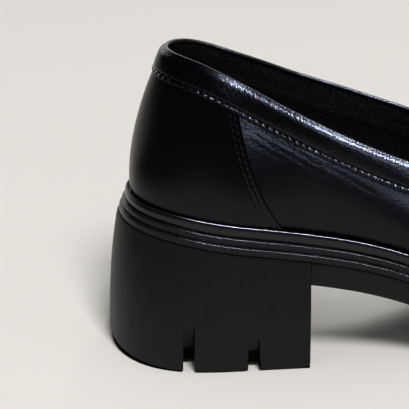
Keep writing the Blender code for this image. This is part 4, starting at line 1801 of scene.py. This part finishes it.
    def build(self) -> list[bpy.types.Object]:
        """Sews every row.

        Returns:
            The pieces of stitching.
        """
        last = self.last
        row = self.seam_row(last.collar_share, -last.collar_share)
        collar = self.sew("collar_stitching", [row], THREAD)
        row = self.seam_row(-last.collar_share, last.collar_share - 2)
        apron = self.sew("apron_stitching", [row], THREAD)
        rows = [self.counter_row(side, inset) for side in (-1, 1) for inset in self.upper.counter_rows]
        counter = self.sew("counter_stitching", rows, THREAD)
        lining = self.sew("lining_stitching", [self.lining_row(side) for side in (-1, 1)], LINING_THREAD)
        return [collar, apron, counter, lining]


@dataclass(frozen=True)
class Softbox:
    """Area light that looks at the shoe from a direction, and may reach only some of its pieces."""

    name: str
    azimuth: float
    elevation: float
    distance: float
    width: float
    height: float
    power: float
    colour: str
    in_gloss: bool
    on_floor: bool
    aim: tuple[float, float, float] | None = None
    spread: float = 180
    pieces: tuple[str, ...] = ()


@dataclass(frozen=True)
class Flag:
    """Black card on the floor that only reflections see, between two stations and two sides."""

    name: str
    back: float
    front: float
    outer: float
    inner: float
    height: float = 0.3


@dataclass
class Studio:
    """Pale floor, soft light and the camera."""

    last: Last
    floor_size: float = 12.0
    camera_azimuth: float = -6
    camera_elevation: float = 24
    camera_distance: float = 750
    camera_target: tuple[float, float, float] = (33.4, -17.5, 59)
    lens: float = 186
    dome: float = 0.48
    gloom: float = 0.004
    softboxes: tuple[Softbox, ...] = (
        Softbox("front_light", 12, 57, 3.6, 0.9, 0.9, 104.0, WHITE_LIGHT, False, True),
        Softbox("arch_light", 176, 40, 0.22, 0.1, 0.04, 0.023, WHITE_LIGHT, False, True, (98, 0, 0), 48),
        Softbox("back_light", 180, 22, 1.5, 3.0, 1.1, 15.0, WHITE_LIGHT, True, False),
        Softbox("gloss_light", 64, 47, 1.3, 0.76, 0.035, 62.0, COOL_LIGHT, True, False, pieces=GLOSSY_PIECES),
        Softbox("band_card", 30, 20, 1.3, 0.6, 0.6, 9.0, COOL_LIGHT, True, False, pieces=("collar_band",)),
        Softbox("bead_light", 5, 50, 1.3, 0.9, 0.08, 175.0, COOL_LIGHT, True, False, pieces=("midsole",)),
        Softbox("front_card", 17, 25, 1.2, 0.3, 0.2, 4.8, COOL_LIGHT, True, False, pieces=("upper",)),
        Softbox("rim_light", 178, 32, 1.5, 3.0, 0.5, 8.0, WHITE_LIGHT, True, False, pieces=("collar_band",)),
    )
    flags: tuple[Flag, ...] = (
        Flag("left_flag", -2000, -140, -2000, 140),
        Flag("front_flag", -140, 2000, -2000, -330),
    )

    def place(
        self,
        obj: bpy.types.Object,
        azimuth: float,
        elevation: float,
        distance: float,
        aim: tuple[float, float, float] | None = None,
    ) -> None:
        """Puts a camera or light at a direction from a place on the shoe, looking at that place.

        Args:
            obj: Camera or light.
            azimuth: Degrees round the shoe from its little-toe side towards the toe.
            elevation: Degrees over the floor.
            distance: Metres from the place.
            aim: The place, or None for the camera's target.
        """
        target = Vector(self.last.to_model(np.array(aim or self.camera_target)))
        a, e = math.radians(azimuth), math.radians(elevation)
        away = Vector((math.sin(a) * math.cos(e), -math.cos(a) * math.cos(e), math.sin(e)))
        obj.location = target + away * distance
        obj.rotation_euler = (-away).to_track_quat("-Z", "Y").to_euler()

    def build(self) -> None:
        """Lays the floor and sets the lights, the backdrop and the camera."""
        bpy.ops.object.select_all(action="DESELECT")
        bpy.ops.mesh.primitive_plane_add(size=self.floor_size)
        floor = bpy.context.object
        floor.name = "studio_floor"
        floor.data.materials.append(STUDIO_PAPER.material())
        for box in self.softboxes:
            self.hang(box)
        self.set_flags()
        self.backdrop()
        camera = bpy.data.objects.new("camera", bpy.data.cameras.new("camera"))
        bpy.context.scene.collection.objects.link(camera)
        camera.data.lens = self.lens
        self.place(camera, self.camera_azimuth, self.camera_elevation, self.camera_distance * MM)
        bpy.context.scene.camera = camera
        bpy.context.scene.view_settings.view_transform = "Standard"

    def hang(self, box: Softbox) -> None:
        """Hangs a softbox and limits what it lights to its pieces.

        Args:
            box: The softbox.
        """
        light = bpy.data.lights.new(box.name, "AREA")
        light.shape = "RECTANGLE"
        light.size, light.size_y, light.energy = box.width, box.height, box.power
        light.color = linear(box.colour)[:3]
        light.spread = math.radians(box.spread)
        lamp = bpy.data.objects.new(box.name, light)
        bpy.context.scene.collection.objects.link(lamp)
        lamp.visible_camera = False
        lamp.visible_glossy = box.in_gloss
        lamp.visible_diffuse = box.on_floor
        if box.pieces:
            reached = bpy.data.collections.new(box.name)
            for piece in bpy.data.objects:
                if piece.name.partition(".")[0] in box.pieces:
                    reached.objects.link(piece)
            lamp.light_linking.receiver_collection = reached
        self.place(lamp, box.azimuth, box.elevation, box.distance, box.aim)

    def set_flags(self) -> None:
        """Lays black cards past the paper's near part, where the leather would mirror too much of it."""
        velvet = FLAG_VELVET.material()
        for flag in self.flags:
            bpy.ops.object.select_all(action="DESELECT")
            bpy.ops.mesh.primitive_plane_add()
            card = bpy.context.object
            card.name = flag.name
            sides = ((x, y, flag.height) for y in (flag.outer, flag.inner) for x in (flag.back, flag.front))
            card.data.vertices.foreach_set("co", self.last.to_model(np.array(list(sides))).ravel())
            card.data.update()
            card.data.materials.append(velvet)
            card.visible_camera = card.visible_diffuse = False
            card.visible_shadow = card.visible_transmission = False

    def backdrop(self) -> None:
        """Surrounds the scene with paper to the camera, dim light to the floor and gloom to reflections."""
        world = bpy.data.worlds.new("studio")
        bpy.context.scene.world = world
        world.use_nodes = True
        tree = world.node_tree
        path = add_node(tree, "ShaderNodeLightPath", {})
        seen = tree.nodes["Background"]
        seen.inputs["Color"].default_value = linear(STUDIO_PAPER.colour)
        dome = add_node(tree, "ShaderNodeBackground", {"Strength": self.dome})
        gloom = add_node(tree, "ShaderNodeBackground", {"Strength": self.gloom})
        unseen = add_node(tree, "ShaderNodeMixShader", {"Fac": path.outputs["Is Glossy Ray"]})
        tree.links.new(dome.outputs["Background"], unseen.inputs[1])
        tree.links.new(gloom.outputs["Background"], unseen.inputs[2])
        mix = add_node(tree, "ShaderNodeMixShader", {"Fac": path.outputs["Is Camera Ray"]})
        tree.links.new(unseen.outputs["Shader"], mix.inputs[1])
        tree.links.new(seen.outputs["Background"], mix.inputs[2])
        tree.links.new(mix.outputs["Shader"], tree.nodes["World Output"].inputs["Surface"])


# Smooth polished calf: blue-black, with a soft gloss that shows its fine lines
UPPER_LEATHER = CalfLeather("polished black calf", "#040406", 0.3, 0.2, "#f2f4ff")
# The same calf on the band, where its lines run across the strip
BAND_LEATHER = CalfLeather(
    "polished black band calf",
    "#040406",
    0.2,
    0.2,
    "#f2f4ff",
    GrainFlow.PANEL,
    pore_depth=0.05,
    line_depth=0.1,
)
# Matt pigskin lining: black, with a short speckled nap that takes no gloss
LINING_LEATHER = Grained(
    "matt black lining", "#050506", 0.9, 0.0, grit=0.4, grit_depth=0.1, fleck_colour="#26262b"
)
# Grip lining in the heel: black suede, with a longer nap
GRIP_LINING = Grained(
    "black suede lining", "#070708", 0.9, 0.0, grit=0.5, grit_depth=0.15, fleck_colour="#232327"
)
# Sock leather of the footbed: black and dry
SOCK_LEATHER = Grained("black sock leather", "#070709", 0.6, 0.15, fleck_colour="#0c0c0e")
# Moulded rubber: near black, matt, with a pale grit from the mould
SOLE_RUBBER = Grained(
    "moulded black rubber", "#111112", 0.47, 0.15, grit=0.42, grit_depth=0.06, fleck_colour="#1d1d1f"
)
# Underside and grooves of the tread: the same rubber, rougher, and painted darker as the shade under the sole
# and in the grooves
SHADE_TREAD_RUBBER = Grained("dull black tread rubber", "#060607", 0.9, 0.03, fleck_colour="#0a0a0b")
# Ribs of the midsole's edge: smoother rubber with a satin face
RIB_RUBBER = Grained(
    "satin black rubber", "#0a0a0c", 0.22, 0.16, grit=0.5, grit_depth=0.05, fleck_colour="#1a1a1d"
)
# Bead on the midsole's edge: polished rubber with a bright line of light
BEAD_RUBBER = Grained(
    "polished black rubber", "#060608", 0.2, 0.32, grit=0.5, grit_depth=0.05, fleck_colour="#121214"
)
# Bonded polyester thread: black, with a slight shine
THREAD = Finish("black polyester thread", "#19191c", 0.35, 0.35)
# Thread of the lining: the same, greyed by the pale core that shows through
LINING_THREAD = Finish("grey polyester thread", "#34343a", 0.5, 0.3)
# Seamless studio paper: warm pale grey, fully matt
STUDIO_PAPER = Finish("pale studio paper", "#e6e3dd", 1.0, 0.0)
# Black velvet of the flags: reflects nothing
FLAG_VELVET = Finish("black flag velvet", "#000000", 1.0, 0.0)


def main() -> None:
    """Builds the shoe's pieces in order, then the studio."""
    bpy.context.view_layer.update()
    last = Last()
    sole = Sole(last)
    hand_over(sole.outsole(), Slot.SOLE, "outsole")
    hand_over(sole.heel_block(), Slot.SOLE, "heel_block")
    hand_over(sole.midsole(), Slot.EDGE, "midsole")
    hand_over(sole.insole(), Slot.SOCK, "insole")
    upper = Upper(last)
    hand_over(upper.wall(), Slot.UPPER, "upper")
    hand_over(upper.counter_panel(), Slot.UPPER, "counter_panel")
    hand_over(upper.collar_band(), Slot.UPPER, "collar_band")
    hand_over(upper.apron(), Slot.UPPER, "apron")
    hand_over(upper.heel_lining(), Slot.SOCK)
    for row in Stitching(last, upper).build():
        hand_over(row, Slot.UPPER)
    Studio(last).build()


if __name__ == "__main__":
    logging.basicConfig(level=logging.INFO)
    main()
